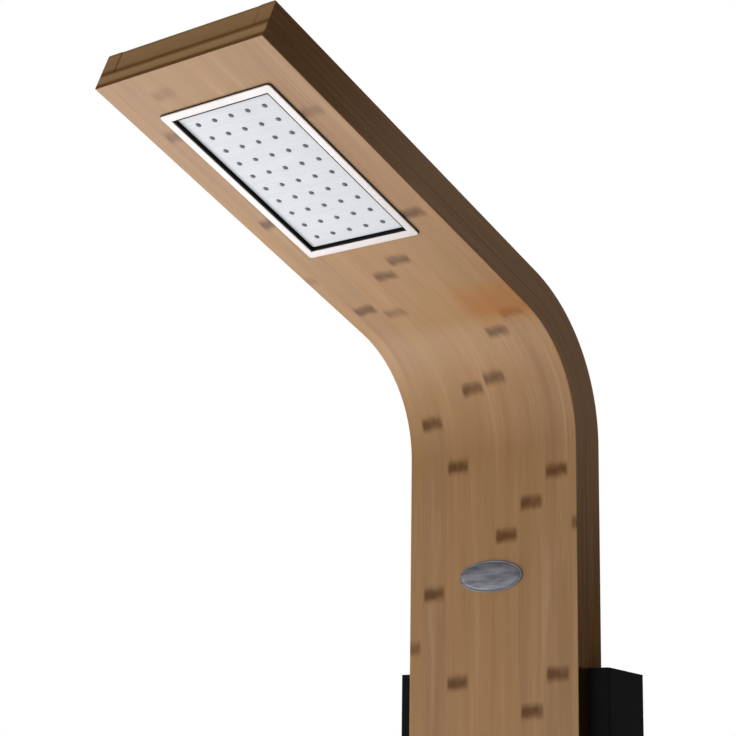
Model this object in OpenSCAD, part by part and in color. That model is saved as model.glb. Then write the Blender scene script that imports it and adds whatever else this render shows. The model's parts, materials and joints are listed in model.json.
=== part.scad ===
// Bent bamboo shower column with a rain head, body jets, a single lever mixer and a diverter.
// X runs across the column, +Y into the wall, +Z up. The wall is the plane y = 0.
// The origin is the middle of the upper wall rail's screw holes, on the wall.

/* [Bamboo column] */
// Width of the column
column_w = 200; // [180:1:220]
// Thickness of the whole column, front to back
column_t = 38; // [36:0.5:44]
// Thickness of the front board
board_t = 15; // [14:0.5:16]
// Width of each side wall
side_wall_w = 17; // [14:0.5:20]
// Thickness of the back cover
cover_t = 4; // [3:0.5:4.5]
// Width of the ledge that the back cover lies on
cover_ledge = 8; // [6:0.5:9]
// Radius of the bend on the front face
bend_r = 126; // [100:1:150]
// Angle through which the column bends forward
head_tilt = 67.3; // [50:0.1:85]
// Length of the straight head beyond the bend
head_len = 389; // [380:1:440]
// Thickness of the end panel that closes the head
end_panel_t = 15; // [12:0.5:18]
// Step of the end panel behind the head's end
end_recess = 1; // [0:0.1:2]
// Length of the bamboo walls inside the housing
tongue_len = 60; // [55:1:80]
// Chamfer along the front edges
edge_chamfer = 1.5; // [0.5:0.1:3]

/* [Housing] */
// Width of the housing
housing_w = 246; // [244:1:260]
// Depth of the housing from the wall to the front board
housing_d = 56.5; // [56:0.5:64]
// Length of the housing
housing_len = 988; // [940:1:1100]
// Drop from the start of the bend to the housing's top
housing_drop = 210; // [200:1:260]
// Fall of the housing's top edge towards the wall
top_fall = 4; // [0:0.5:8]
// Thickness of the housing's sheet
sheet_t = 2; // [1.5:0.1:2.5]
// Outer radius of the housing's front corners
corner_r = 3; // [2.6:0.1:6]
// Width of the lip folded in at the wall
back_lip_w = 12; // [8:1:14]
// Thickness of the plastic end caps
cap_t = 2.5; // [2:0.1:4]

/* [Badge] */
// Length of the oval badge
badge_w = 74.5; // [60:0.5:90]
// Height of the oval badge
badge_h = 30.5; // [24:0.5:40]
// Rise of the badge's dome above its rim
badge_dome = 2; // [1:0.1:3]
// Drop of the badge below the start of the bend
badge_drop = 121; // [80:1:150]

/* [Rain head] */
// Width of the bezel round the spray insert
bezel_w = 131; // [120:0.5:140]
// Length of the bezel round the spray insert
bezel_l = 215.5; // [200:0.5:225]
// Width of the bezel's border
bezel_border = 9.25; // [7.5:0.25:10]
// How far the bezel stands proud of the board
bezel_proud = 2; // [1.5:0.1:3]
// Distance from the head's end to the bezel
insert_gap = 49; // [35:1:60]
// Width of the gap between the bezel and the spray plate
plate_gap = 2; // [1:0.1:3]
// Depth of the spray plate's face behind the board's face
plate_depth = 1.2; // [0.5:0.1:2]
// Nozzles across the plate
nozzle_cols = 5; // [3:1:5]
// Nozzles along the plate
nozzle_rows = 10; // [6:1:10]
// Spacing of the nozzles across the plate
nozzle_pitch_x = 19.75; // [16:0.25:20.5]
// Spacing of the nozzles along the plate
nozzle_pitch_y = 18.75; // [15:0.25:19]
// Diameter of a nozzle where it leaves the plate
nozzle_d = 4.8; // [3.5:0.1:5.5]
// Height of a nozzle's tip above the plate
nozzle_proud = 1.7; // [1:0.1:3]

/* [Wall rails] */
// Gap between a wall rail's end and the housing's side
rail_gap = 14; // [14:0.5:24]
// Thickness of a wall rail
rail_t = 3; // [2:0.5:4]
// Spacing of a wall rail's two screw holes
rail_hole_pitch = 140; // [100:1:180]
// Diameter of a wall rail's screw holes
rail_hole_d = 6.4; // [5:0.1:8]
// Drop from the housing's top to the upper rail's screw holes
rail_drop = 70; // [70:1:90]
// Rise from the housing's bottom to the lower rail's screw holes
rail_rise = 80; // [60:1:110]

/* [Body jets] */
// Spacing of the jets across the column
jet_pitch_x = 104; // [90:1:116]
// Drop from the housing's top to the upper jets
jet_drop = 220; // [200:1:240]
// Spacing of the jets up the column
jet_pitch_z = 180; // [140:1:200]
// Diameter of a jet's swivelling ball
jet_ball_d = 28; // [24:0.5:30]
// Outer diameter of a jet's bezel
jet_bezel_d = 54; // [50:0.5:58]
// Spray holes in a jet's ball
jet_holes = 8; // [6:1:10]

/* [Mixer and diverter] */
// Drop from the housing's top to the diverter
diverter_drop = 550; // [530:1:560]
// Drop from the diverter to the mixer
mixer_drop = 160; // [150:1:200]
// Diameter of the mixer's ceramic cartridge
cartridge_d = 35; // [30:0.5:36]
// Diameter of the mixer's dome
dome_d = 42; // [40:0.5:44]
// Length of the mixer's lever from the dome's middle
lever_len = 98; // [80:1:120]
// Width of the mixer's lever at the dome
lever_w = 22; // [18:0.5:26]
// Diameter of the diverter's knob
knob_d = 42; // [36:0.5:50]
// Height of the diverter's knob
knob_h = 22; // [18:0.5:28]
// Spacing of the hot and cold inlets
inlet_pitch = 120; // [110:1:150]
// Outside diameter of the G 1/2 inlet threads
inlet_d = 20.96; // [20.8:0.01:21]
// Outside diameter of the water pipes
pipe_d = 12; // [10:0.5:13]
// Wall of the water pipes
pipe_wall = 1.5; // [1:0.1:2]
// Outside diameter of the pipes to the jets
jet_pipe_d = 10; // [8:0.5:11]

/* [Hidden] */
$fn = 96;
e = 0.01;
// Clearances: between flat seats, round a running shaft, and round a swivelling ball
fit = 0.3;
run = 0.05;
ball_gap = 0.3;
thread = 0.05;

housing_top = rail_drop;
bend_z = housing_top + housing_drop;
housing_bottom = housing_top - housing_len;
tongue_z = housing_top - tongue_len;
lower_rail_z = housing_bottom + rail_rise;
front_y = -(housing_d + board_t);
shell_y = -housing_d;
inside_y = -housing_d + sheet_t;
inside_x = housing_w / 2 - sheet_t;
cap_z = housing_bottom + fit;
rail_w = 2 * (inside_x - rail_gap);

column_x = column_w / 2;
hollow_x = column_x - side_wall_w;
ledge_x = hollow_x + cover_ledge;
hollow_back = column_t - cover_t;
tongue_back_y = front_y + column_t;
cover_end = head_len - end_recess - end_panel_t - fit;

// Rain head insert
insert_t = head_len - insert_gap - bezel_l / 2;
opening_w = bezel_w - 2 * bezel_border;
opening_l = bezel_l - 2 * bezel_border;
flange_margin = 2;
flange_t = 1;
tray_wall = 5.25;
tray_floor = 1.6;
tray_w = opening_w + 2 * tray_wall;
tray_l = opening_l + 2 * tray_wall;
tray_depth = hollow_back - 0.4;
floor_depth = tray_depth - tray_floor;
plate_w = opening_w - 2 * plate_gap;
plate_l = opening_l - 2 * plate_gap;
plate_t = 1.2;
mat_depth = plate_depth + plate_t;
mat_t = 2;
mat_margin = 2.25;
mat_w = plate_w - 2 * mat_margin;
mat_l = plate_l - 2 * mat_margin;
chamber_depth = mat_depth + mat_t;
chamber_t = 20;
chamber_back = chamber_depth + chamber_t;
chamber_wall = 3;
stud_d = 4;
stud_x = nozzle_pitch_x * 1.5;
stud_y = nozzle_pitch_y * 4;
nut_t = 3.2;
boss_d = 9;
foot_x = 40;
foot_y = nozzle_pitch_y * 3;
port_w = 20;
port_len = 24;
port_depth = 15;

// Pipes
pipe_depth = board_t + (hollow_back - board_t) / 2;
pipe_y = front_y + pipe_depth;
pipe_grip = 14;
port_t = insert_t - mat_l / 2;
pipe_end = port_t + pipe_grip;
seal_wire = 1;

// Jets
jet_z = [housing_top - jet_drop, housing_top - jet_drop - jet_pitch_z];
jet_xs = [-jet_pitch_x / 2, jet_pitch_x / 2];
ball_r = jet_ball_d / 2;
seat_r = ball_r + ball_gap;
ball_y = front_y + 5;
jet_bezel_t = 5;
jet_body_r = seat_r + 2.7;
jet_body_end = -44;
jet_pipe_y = -26;
jet_pipe_r = jet_pipe_d / 2;
jet_tee_r = jet_pipe_r + 1.8;
jet_tee_len = 30;
jet_nut_t = 6;
washer_t = 1;

// Diverter
diverter_z = housing_top - diverter_drop;
valve_neck_end = front_y - 5;
diverter_body_r = 16;
diverter_neck_r = 12;
spindle_r = 5;
spindle_back = -34;
escutcheon_t = 8;
escutcheon_skin = 1.5;
knob_gap = 1.5;
knob_back = front_y - escutcheon_t - knob_gap;
port_r = pipe_d / 2 + 1.3;
port_reach = 45;
port_seat = 31;
jet_port_x = jet_pitch_x / 2 - 12;

// Mixer
mixer_z = diverter_z - mixer_drop;
neck_wall = 4.4;
cavity_r = cartridge_d / 2 + run;
mixer_neck_r = cavity_r + neck_wall;
mixer_body_r = mixer_neck_r + 4;
cartridge_back = -40;
dome_r = dome_d / 2;
dome_y = front_y - 14;
dome_base = 8;
handle_gap = 0.4;
handle_wall = 5.6;
handle_cut = 13;
shaft_r = 8;
slot_half = 5.2;
hub_r = 5;
lever_pin_r = 2;
stem_r = 4;
inlet_y = -34;
inlet_r = inlet_d / 2;
elbow_r = inlet_r + 3;

// Helpers

// Extrudes an outline drawn in (y, z) from x0 to x1
module along_x(x0, x1) {
    translate([x0, 0, 0]) rotate([90, 0, 90]) linear_extrude(x1 - x0) children();
}

// Turns a shape drawn along +Z, from z = 0 up, to run along +Y from y0
module along_y(x, y0, z) {
    translate([x, y0, z]) rotate([-90, 0, 0]) children();
}

// A round bar along +Y from y0 to y1
module bar_y(x, y0, y1, z, r) {
    along_y(x, y0, z) cylinder(h = y1 - y0, r = r);
}

// A round bar along +X from x0 to x1
module bar_x(x0, x1, y, z, r) {
    translate([x0, y, z]) rotate([0, 90, 0]) cylinder(h = x1 - x0, r = r);
}

// A round bar along +Z from z0 to z1
module bar_z(x, y, z0, z1, r) {
    translate([x, y, z0]) cylinder(h = z1 - z0, r = r);
}

// Two half turns about X: the straight column turns there and back, and the head turns on, so that
// rounding is the same on both sides of the bend and its joints close
module two_turns(first, second) {
    rotate([first, 0, 0]) rotate([second, 0, 0]) children();
}

// Sweeps a cross-section, drawn as (x, depth behind the front face), up the column, round the bend
// and along the head
module sweep_column(z0, head) {
    reach = 2 * (bend_r + column_t);
    half = head_tilt / 2;
    translate([0, front_y - bend_r, bend_z]) {
        two_turns(half, -half) translate([0, bend_r, z0 - bend_z]) linear_extrude(bend_z - z0) children();
        two_turns(half, half) translate([0, bend_r, 0]) linear_extrude(head) children();
        intersection() {
            two_turns(half, half) mirror([0, 0, 1]) rotate([90, 0, 90])
                rotate_extrude(angle = head_tilt + 10) translate([bend_r, 0]) mirror([1, -1]) children();
            translate([-reach, -reach, 0]) cube(2 * reach);
        }
    }
}

// Puts a shape on the head's front face, t beyond the bend: x across, y towards the tip, z outwards
module at_head(t) {
    translate([0, front_y - bend_r, bend_z]) two_turns(head_tilt / 2, head_tilt / 2)
        translate([0, bend_r, t]) rotate([90, 0, 0]) children();
}

// Puts a shape on the column's straight front face at height z
module at_column(z) {
    translate([0, front_y, z]) rotate([90, 0, 0]) children();
}

// A flat outline with round corners
module round_rect(w, l, r) {
    square([w - 2 * r, l], center = true);
    square([w, l - 2 * r], center = true);
    for (x = [-1, 1], y = [-1, 1]) translate([x * (w / 2 - r), y * (l / 2 - r)]) circle(r);
}

// A plate with round corners whose faces are at the two heights
module plate(w, l, r, z0, z1) {
    translate([0, 0, z0]) linear_extrude(z1 - z0) round_rect(w, l, r);
}

// A screw with a flat countersunk head at z = 0 and its shank down to -len
module flat_screw(head_r, shank_r, head_h, len) {
    translate([0, 0, -head_h]) cylinder(h = head_h, r1 = shank_r, r2 = head_r);
    translate([0, 0, -len]) cylinder(h = len - head_h + e, r = shank_r);
}

// Bamboo column

module board_holes() {
    at_head(insert_t) plate(tray_w + 2 * fit, tray_l + 2 * fit, 3, -board_t - 1, 1);
    for (x = [-1, 1]) {
        bar_y(x * badge_w / 4, front_y - e, front_y + badge_pin_len + fit, badge_z, badge_pin_r + thread);
    }
    for (x = jet_xs, z = jet_z) bar_y(x, front_y - 1, shell_y + 1, z, jet_body_r + fit);
    bar_y(0, front_y - 1, shell_y + 1, diverter_z, diverter_neck_r + fit);
    bar_y(0, front_y - 1, shell_y + 1, mixer_z, mixer_neck_r + fit);
    board_screw_places() cylinder(h = board_screw_grip + fit, r = board_screw_r + thread);
    at_tray_screws() cylinder(h = tray_screw_len + fit, r = tray_screw_r + thread);
}

// Cuts the chamfer along the board's two front edges
module edge_cuts() {
    for (side = [0, 1]) mirror([side, 0, 0]) sweep_column(housing_bottom - 1, head_len + 1) polygon([
        [column_x - edge_chamfer - 1, -1], [column_x + 1, -1], [column_x + 1, edge_chamfer + 1]
    ]);
}

module front_board() {
    color("peru") difference() {
        sweep_column(housing_bottom, head_len) translate([-column_x, 0]) square([column_w, board_t]);
        edge_cuts();
        board_holes();
    }
}

// One side wall on the +X side, with the ledge for the back cover
module side_wall() {
    difference() {
        sweep_column(tongue_z, head_len) translate([hollow_x, board_t])
            square([side_wall_w, column_t - board_t]);
        sweep_column(tongue_z - 1, head_len - end_recess - end_panel_t)
            translate([hollow_x - 1, hollow_back]) square([cover_ledge + 1, cover_t + 1]);
        cover_screw_places() cylinder(h = cover_screw_len + fit, r = cover_screw_r + thread);
        column_screw_places() cylinder(h = column_screw_grip + fit, r = column_screw_r + thread);
    }
}

module side_wall_right() {
    color("saddlebrown") side_wall();
}

module side_wall_left() {
    color("saddlebrown") mirror([1, 0, 0]) side_wall();
}

module end_panel() {
    color("peru") at_head(head_len - end_recess - end_panel_t)
        translate([-hollow_x, 0, -column_t]) cube([2 * hollow_x, end_panel_t, column_t - board_t]);
}

cover_screw_r = 1.5;
cover_screw_head = 3;
cover_screw_len = 14;
cover_screw_gap = 60;
cover_screw_ts = [cover_screw_gap, head_len / 2, head_len - cover_screw_gap];
cover_screw_zs = [bend_z - cover_screw_gap * 2 / 3, bend_z - cover_screw_gap * 5 / 2];

// Places along the ledges for the back cover's screws, with +Z running into the wood
module cover_screw_places() {
    x = (hollow_x + ledge_x) / 2;
    for (side = [-1, 1]) {
        for (t = cover_screw_ts) at_head(t) translate([side * x, 0, -column_t]) children();
        for (z = cover_screw_zs) at_column(z) translate([side * x, 0, -column_t]) children();
    }
}

module back_cover() {
    color("burlywood") difference() {
        sweep_column(tongue_z, cover_end) translate([-ledge_x + fit, hollow_back])
            square([2 * (ledge_x - fit), cover_t]);
        cover_screw_places() mirror([0, 0, 1]) translate([0, 0, e])
            flat_screw(cover_screw_head + thread, cover_screw_r + thread, 2, cover_t + 1);
    }
}

module back_cover_screws() {
    color("silver") cover_screw_places() mirror([0, 0, 1])
        flat_screw(cover_screw_head, cover_screw_r, 2, cover_screw_len);
}

badge_rim_t = 1.2;
badge_rim_w = 2;
badge_steps = 5;
badge_pin_r = 1.5;
badge_pin_len = 6;
badge_z = bend_z - badge_drop;

// One oval slice of the badge, drawn in from its edge
module badge_slice(inset, z0, z1) {
    translate([0, 0, z0]) scale([badge_w / 2 - inset, badge_h / 2 - inset, 1])
        cylinder(h = z1 - z0, r = 1, $fn = 48);
}

module badge_plate() {
    color("lightsteelblue") {
        at_column(badge_z) {
            hull() badge_slice(0, 0, badge_rim_t);
            hull() for (i = [0 : badge_steps]) {
                angle = 90 * i / badge_steps;
                badge_slice(badge_rim_w + (badge_h / 2 - badge_rim_w) * 0.92 * (1 - cos(angle)),
                    badge_rim_t - 0.2, badge_rim_t + badge_dome * sin(angle));
            }
        }
        for (x = [-1, 1]) {
            bar_y(x * badge_w / 4, front_y - e, front_y + badge_pin_len, badge_z, badge_pin_r);
        }
    }
}

// Rain head

module head_bezel() {
    color("white") at_head(insert_t) difference() {
        plate(bezel_w, bezel_l, 3, 0, bezel_proud);
        plate(opening_w, opening_l, 2, -1, bezel_proud + 1);
        plate(tray_w + 2 * flange_margin + 2 * fit, tray_l + 2 * flange_margin + 2 * fit, 3, -1, flange_t);
    }
}

tray_screw_r = 1.5;
tray_screw_head = 3;
tray_screw_len = 12;
tray_screw_depth = 8;

// Places on the tray's inner walls for its screws, with +Z running outwards into the board
module at_tray_screws() {
    at_head(insert_t) {
        for (side = [0, 180], y = [-1, 1]) {
            rotate([0, 0, side]) translate([opening_w / 2, y * tray_l / 4, -tray_screw_depth])
                rotate([0, 90, 0]) children();
        }
        for (side = [0, 180]) {
            rotate([0, 0, side]) translate([tray_w / 4, opening_l / 2, -tray_screw_depth])
                rotate([-90, 0, 0]) children();
        }
    }
}

module head_tray() {
    color([0.08, 0.08, 0.08]) difference() {
        at_head(insert_t) difference() {
            union() {
                plate(tray_w, tray_l, 3, -tray_depth, flange_t);
                plate(tray_w + 2 * flange_margin, tray_l + 2 * flange_margin, 3, 0, flange_t);
            }
            plate(opening_w, opening_l, 2, -floor_depth, flange_t + 1);
            translate([0, -opening_l / 2, -pipe_depth]) rotate([90, 0, 0])
                translate([0, 0, -1]) cylinder(h = tray_wall + 3, r = pipe_d / 2 + fit);
            chamber_feet() translate([0, 0, -tray_depth - e]) mirror([0, 0, 1])
                flat_screw(3 + thread, foot_screw_r + thread, tray_floor, tray_floor + 1);
        }
        at_tray_screws() cylinder(h = tray_wall + 1, r = tray_screw_r + thread);
    }
}

module tray_screws() {
    color("silver") at_tray_screws() {
        translate([0, 0, -1.5]) cylinder(h = 1.5, r = tray_screw_head);
        cylinder(h = tray_screw_len, r = tray_screw_r);
    }
}

// Rows and columns of the nozzles
module nozzle_grid() {
    for (i = [0 : nozzle_cols - 1], j = [0 : nozzle_rows - 1]) {
        translate([
            (i - (nozzle_cols - 1) / 2) * nozzle_pitch_x,
            (j - (nozzle_rows - 1) / 2) * nozzle_pitch_y, 0
        ]) children();
    }
}

module stud_grid() {
    for (x = [-1, 1], y = [-1, 0, 1]) translate([x * stud_x, y * stud_y, 0]) children();
}

module spray_plate() {
    color("gainsboro") at_head(insert_t) {
        difference() {
            plate(plate_w, plate_l, 2, -mat_depth, -plate_depth);
            nozzle_grid() translate([0, 0, -mat_depth - 1])
                cylinder(h = plate_t + 2, r = nozzle_d / 2 + 0.1, $fn = 32);
        }
        stud_grid() translate([0, 0, -chamber_back - nut_t])
            cylinder(h = chamber_back + nut_t - mat_depth + e, r = stud_d / 2);
    }
}

module nozzle_mat() {
    color("dimgray") at_head(insert_t) difference() {
        union() {
            plate(mat_w, mat_l, 2, -chamber_depth, -mat_depth);
            nozzle_grid() translate([0, 0, -mat_depth - e])
                cylinder(h = plate_t + nozzle_proud + e, r1 = nozzle_d / 2, r2 = nozzle_d / 2 - 0.5, $fn = 32);
        }
        nozzle_grid() translate([0, 0, -chamber_depth - 1])
            cylinder(h = mat_t + plate_t + nozzle_proud + 2, r = 0.6, $fn = 24);
        stud_grid() translate([0, 0, -chamber_depth - 1]) cylinder(h = mat_t + 2, r = stud_d / 2 + 0.1);
    }
}

foot_screw_r = 1.5;

module chamber_feet() {
    for (x = [-1, 1], y = [-1, 1]) translate([x * foot_x, y * foot_y, 0]) children();
}

module spray_chamber() {
    color("black") at_head(insert_t) difference() {
        union() {
            difference() {
                plate(mat_w, mat_l, 3, -chamber_back, -chamber_depth);
                plate(mat_w - 2 * chamber_wall, mat_l - 2 * chamber_wall, 2,
                    -chamber_back + chamber_wall, -chamber_depth + 1);
            }
            stud_grid() translate([0, 0, -chamber_back]) cylinder(h = chamber_t, r = boss_d / 2);
            chamber_feet() translate([0, 0, -floor_depth])
                cylinder(h = floor_depth - chamber_back + e, r = boss_d / 2);
            translate([-port_w / 2, -mat_l / 2, -floor_depth + e])
                cube([port_w, port_len, floor_depth - port_depth]);
        }
        stud_grid() translate([0, 0, -chamber_back - 1]) cylinder(h = chamber_t + 2, r = stud_d / 2 + 0.1);
        chamber_feet() translate([0, 0, -floor_depth - 1])
            cylinder(h = floor_depth - chamber_back + 3, r = foot_screw_r + thread);
        translate([0, -mat_l / 2, -pipe_depth]) rotate([-90, 0, 0]) {
            translate([0, 0, -1]) cylinder(h = pipe_grip + 1 + fit, r = pipe_d / 2 + run);
            cylinder(h = port_len + 6, r = pipe_d / 2 - pipe_wall - 0.5);
            translate([0, 0, pipe_grip / 2 - 1.2]) cylinder(h = 2.4, r = pipe_d / 2 + seal_wire + run);
        }
        translate([-port_w / 4, -mat_l / 2 + port_len - 5, -pipe_depth])
            cube([port_w / 2, 12, pipe_depth - port_depth + 1]);
    }
}

module inlet_seal() {
    color("dimgray") at_head(insert_t) translate([0, -mat_l / 2 + pipe_grip / 2, -pipe_depth])
        rotate([-90, 0, 0]) rotate_extrude() translate([pipe_d / 2 + seal_wire / 2 + run / 2, 0])
            circle(seal_wire / 2, $fn = 32);
}

module chamber_nuts() {
    color("silver") at_head(insert_t) stud_grid() difference() {
        translate([0, 0, -chamber_back - nut_t]) cylinder(h = nut_t, r = 4, $fn = 6);
        translate([0, 0, -chamber_back - nut_t - 1]) cylinder(h = nut_t + 2, r = stud_d / 2 + thread);
    }
}

module chamber_screws() {
    color("silver") at_head(insert_t) chamber_feet() translate([0, 0, -tray_depth]) mirror([0, 0, 1])
        flat_screw(3, foot_screw_r, tray_floor, floor_depth - chamber_back + tray_floor + 1.5);
}

module pipe_ring() {
    difference() {
        circle(pipe_d / 2);
        circle(pipe_d / 2 - pipe_wall);
    }
}

// The riser runs up from the diverter and round the bend
module riser_pipe() {
    z0 = diverter_z + port_seat;
    color("gray") {
        translate([0, pipe_y, z0]) linear_extrude(bend_z - z0) pipe_ring();
        translate([0, front_y - bend_r, bend_z]) rotate([90, 0, 90]) rotate_extrude(angle = head_tilt)
            translate([bend_r + pipe_depth, 0]) pipe_ring();
    }
}

module head_pipe() {
    color("gray") at_head(fit) translate([0, 0, -pipe_depth]) rotate([-90, 0, 0])
        linear_extrude(pipe_end - fit) pipe_ring();
}

coupler_grip = 9;
coupler_len = 25;
coupler_wall = 1.5;

// A sleeve that joins the riser to the head's pipe: its lower half is wider, for the start of the bend
module pipe_coupler() {
    bend_room = coupler_grip * coupler_grip / (2 * (bend_r + pipe_depth)) + 0.08;
    color("goldenrod") at_head(-coupler_grip) translate([0, 0, -pipe_depth]) rotate([-90, 0, 0])
        difference() {
            cylinder(h = coupler_len, r = pipe_d / 2 + coupler_wall);
            translate([0, 0, -1]) cylinder(h = coupler_len + 2, r = pipe_d / 2 + thread);
            translate([0, 0, -1]) cylinder(h = coupler_grip + 1, r = pipe_d / 2 + bend_room);
        }
}

clip_w = 12;
clip_t = 1.5;
clip_ear = 9;
clip_screw_r = 1.4;
clip_reach = 60;

// A saddle clip over the pipe: z = 0 is the board's back face, the pipe runs along y
module pipe_clip() {
    r = pipe_d / 2 + thread;
    drop = pipe_depth - board_t;
    difference() {
        rotate([90, 0, 0]) linear_extrude(clip_w, center = true) difference() {
            union() {
                translate([0, -drop]) circle(r + clip_t);
                translate([-r - clip_t, -drop]) square([2 * (r + clip_t), drop]);
                translate([-r - clip_t - clip_ear, -clip_t]) square([2 * (r + clip_t + clip_ear), clip_t]);
            }
            translate([0, -drop]) circle(r);
            translate([-r, -drop]) square([2 * r, drop + 1]);
        }
        for (x = [-1, 1]) translate([x * (r + clip_t + clip_ear / 2), 0, -clip_t - 1])
            cylinder(h = clip_t + 2, r = clip_screw_r + thread);
    }
}

module pipe_clips() {
    color("gray") {
        at_head(port_t - clip_reach) translate([0, 0, -board_t]) pipe_clip();
        at_column(badge_z) translate([0, 0, -board_t]) pipe_clip();
    }
}

// Housing

// Height of the housing's sloped top edge at a given y
function top_at(y) = housing_top - top_fall * (y + housing_d) / housing_d;

// How far a cutting shape runs on beyond what it cuts
cut_over = 20;

module housing_outline() {
    difference() {
        union() {
            translate([-housing_w / 2, shell_y + corner_r]) square([housing_w, housing_d - corner_r]);
            translate([-housing_w / 2 + corner_r, shell_y]) square([housing_w - 2 * corner_r, corner_r + 1]);
            for (x = [-1, 1]) translate([x * (housing_w / 2 - corner_r), shell_y + corner_r]) circle(corner_r);
        }
        difference() {
            translate([-inside_x, inside_y]) square([2 * inside_x, housing_d]);
            for (x = [-1, 1]) difference() {
                translate([x * inside_x - (corner_r - sheet_t), inside_y - (corner_r - sheet_t)])
                    square(2 * (corner_r - sheet_t));
                translate([x * (inside_x - (corner_r - sheet_t)), inside_y + corner_r - sheet_t])
                    circle(corner_r - sheet_t);
            }
        }
    }
    for (x = [-1, 1]) translate([x * (inside_x - back_lip_w / 2 + e) - back_lip_w / 2, -sheet_t])
        square([back_lip_w, sheet_t]);
}

module housing_shell() {
    color([0.1, 0.1, 0.1]) difference() {
        translate([0, 0, housing_bottom]) linear_extrude(housing_len) housing_outline();
        along_x(-housing_w, housing_w) polygon([
            [-housing_d - 1, top_at(-housing_d - 1)], [1, top_at(1)],
            [1, housing_top + 10], [-housing_d - 1, housing_top + 10]
        ]);
        translate([-column_x - fit, shell_y - 1, tongue_z - fit])
            cube([column_w + 2 * fit, sheet_t + 2, tongue_len + cut_over]);
        for (x = jet_xs, z = jet_z) bar_y(x, shell_y - 1, inside_y + 1, z, jet_body_r + fit);
        bar_y(0, shell_y - 1, inside_y + 1, diverter_z, diverter_neck_r + fit);
        bar_y(0, shell_y - 1, inside_y + 1, mixer_z, mixer_neck_r + fit);
        board_screw_places() translate([0, 0, -sheet_t - 1])
            cylinder(h = sheet_t + 2, r = board_screw_r + 0.3);
        for (x = [-1, 1]) bar_x(x * housing_w / 2 - 5, x * housing_w / 2 + 5, lock_y, lock_z, lock_r + thread);
    }
}

cap_back = -sheet_t - fit;
cap_front = inside_y + fit;
cap_tab_h = 14;
tab_front = cap_front + 8;
tab_back = cap_back - 8;

// Side tabs that clip an end cap between the housing's walls, drawn as an outline in (y, z)
module cap_tabs() {
    for (x = [-1, 1]) {
        middle = x * (inside_x - fit - cap_t / 2);
        along_x(middle - cap_t / 2, middle + cap_t / 2) children();
    }
}

module top_cap() {
    gap = fit;
    color([0.1, 0.1, 0.1]) difference() {
        union() {
            along_x(-inside_x + fit, inside_x - fit) polygon([
                [cap_front, top_at(cap_front) - gap], [cap_back, top_at(cap_back) - gap],
                [cap_back, top_at(cap_back) - gap - cap_t], [cap_front, top_at(cap_front) - gap - cap_t]
            ]);
            cap_tabs() polygon([
                [tab_front, top_at(tab_front) - gap - e], [tab_back, top_at(tab_back) - gap - e],
                [tab_back, top_at(tab_back) - cap_tab_h], [tab_front, top_at(tab_back) - cap_tab_h]
            ]);
        }
        translate([-column_x - fit, shell_y, housing_top - top_fall - cap_tab_h])
            cube([column_w + 2 * fit, tongue_back_y - shell_y + fit, top_fall + cap_tab_h + cut_over]);
    }
}

// Openings for the two supply hoses, and a drain slot between them
hose_hole_r = 18;
drain_w = 50;
drain_h = 6;

module bottom_cap() {
    color([0.1, 0.1, 0.1]) difference() {
        union() {
            translate([-inside_x + fit, cap_front, cap_z])
                cube([2 * (inside_x - fit), cap_back - cap_front, cap_t]);
            cap_tabs() translate([tab_front, cap_z + e]) square([tab_back - tab_front, cap_tab_h]);
        }
        for (x = [-1, 1]) bar_z(x * inlet_pitch / 2, inlet_y, cap_z - 1, cap_z + cap_t + 1, hose_hole_r);
        translate([0, inlet_y, cap_z - 1])
            linear_extrude(cap_t + 2) round_rect(drain_w, drain_h, drain_h / 2 - 0.5);
    }
}

bracket_h = 24;
bracket_gap = 2;
bracket_z = housing_top - top_fall - cap_tab_h - bracket_gap - bracket_h;
bracket_t = 2;
column_screw_r = 2;
column_screw_grip = 16;
column_screw_inset = 8;

// Places on the column's back for the bracket's screws, with +Z running forward into the side walls
module column_screw_places() {
    for (x = [-1, 1], z = [column_screw_inset, bracket_h - column_screw_inset]) {
        translate([x * (column_x - (side_wall_w - cover_ledge) / 2), tongue_back_y, bracket_z + z])
            rotate([90, 0, 0]) children();
    }
}

module column_bracket() {
    color("dimgray") difference() {
        union() {
            translate([-inside_x, tongue_back_y, bracket_z]) cube([2 * inside_x, bracket_t, bracket_h]);
            for (x = [0, 1]) translate([x * (2 * inside_x - bracket_t) - inside_x, tongue_back_y, bracket_z])
                cube([bracket_t, 14, bracket_h]);
        }
        column_screw_places() translate([0, 0, -bracket_t - 1])
            cylinder(h = bracket_t + 2, r = column_screw_r + 0.3);
    }
}

module column_screws() {
    color("silver") column_screw_places() {
        translate([0, 0, -bracket_t - 2.4]) cylinder(h = 2.4, r = 4);
        translate([0, 0, -bracket_t - e]) cylinder(h = column_screw_grip + bracket_t, r = column_screw_r);
    }
}

board_screw_r = 2;
board_screw_grip = 9;
board_screw_x = column_x - 12;
board_screw_rows = 5;
board_screw_gap = 60;
board_screw_top = tongue_z - board_screw_gap;
board_screw_low = housing_bottom + board_screw_gap * 2 / 3;

// Places on the board's back face for its screws, with +Z running forward into the wood
module board_screw_places() {
    pitch = (board_screw_top - board_screw_low) / (board_screw_rows - 1);
    for (x = [-1, 1], i = [0 : board_screw_rows - 1]) {
        translate([x * board_screw_x, shell_y, board_screw_low + i * pitch]) rotate([90, 0, 0]) children();
    }
}

module board_screws() {
    color("silver") board_screw_places() {
        translate([0, 0, -sheet_t - 2.4]) cylinder(h = 2.4, r = 4);
        translate([0, 0, -sheet_t - e]) cylinder(h = board_screw_grip + sheet_t, r = board_screw_r);
    }
}

// Wall rails and the hangers that hook over them

leaf_low = -14;
groove_z = 15;
groove_w = 3.2;
lip_h = 12;
rail_lip_y = -rail_t - groove_w;
hook_t = 2;
hook_gap = 0.6;
hanger_y = -16;
hanger_x = rail_w / 2 - 2;
hanger_h = 20;
hanger_ear = 16;

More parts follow.
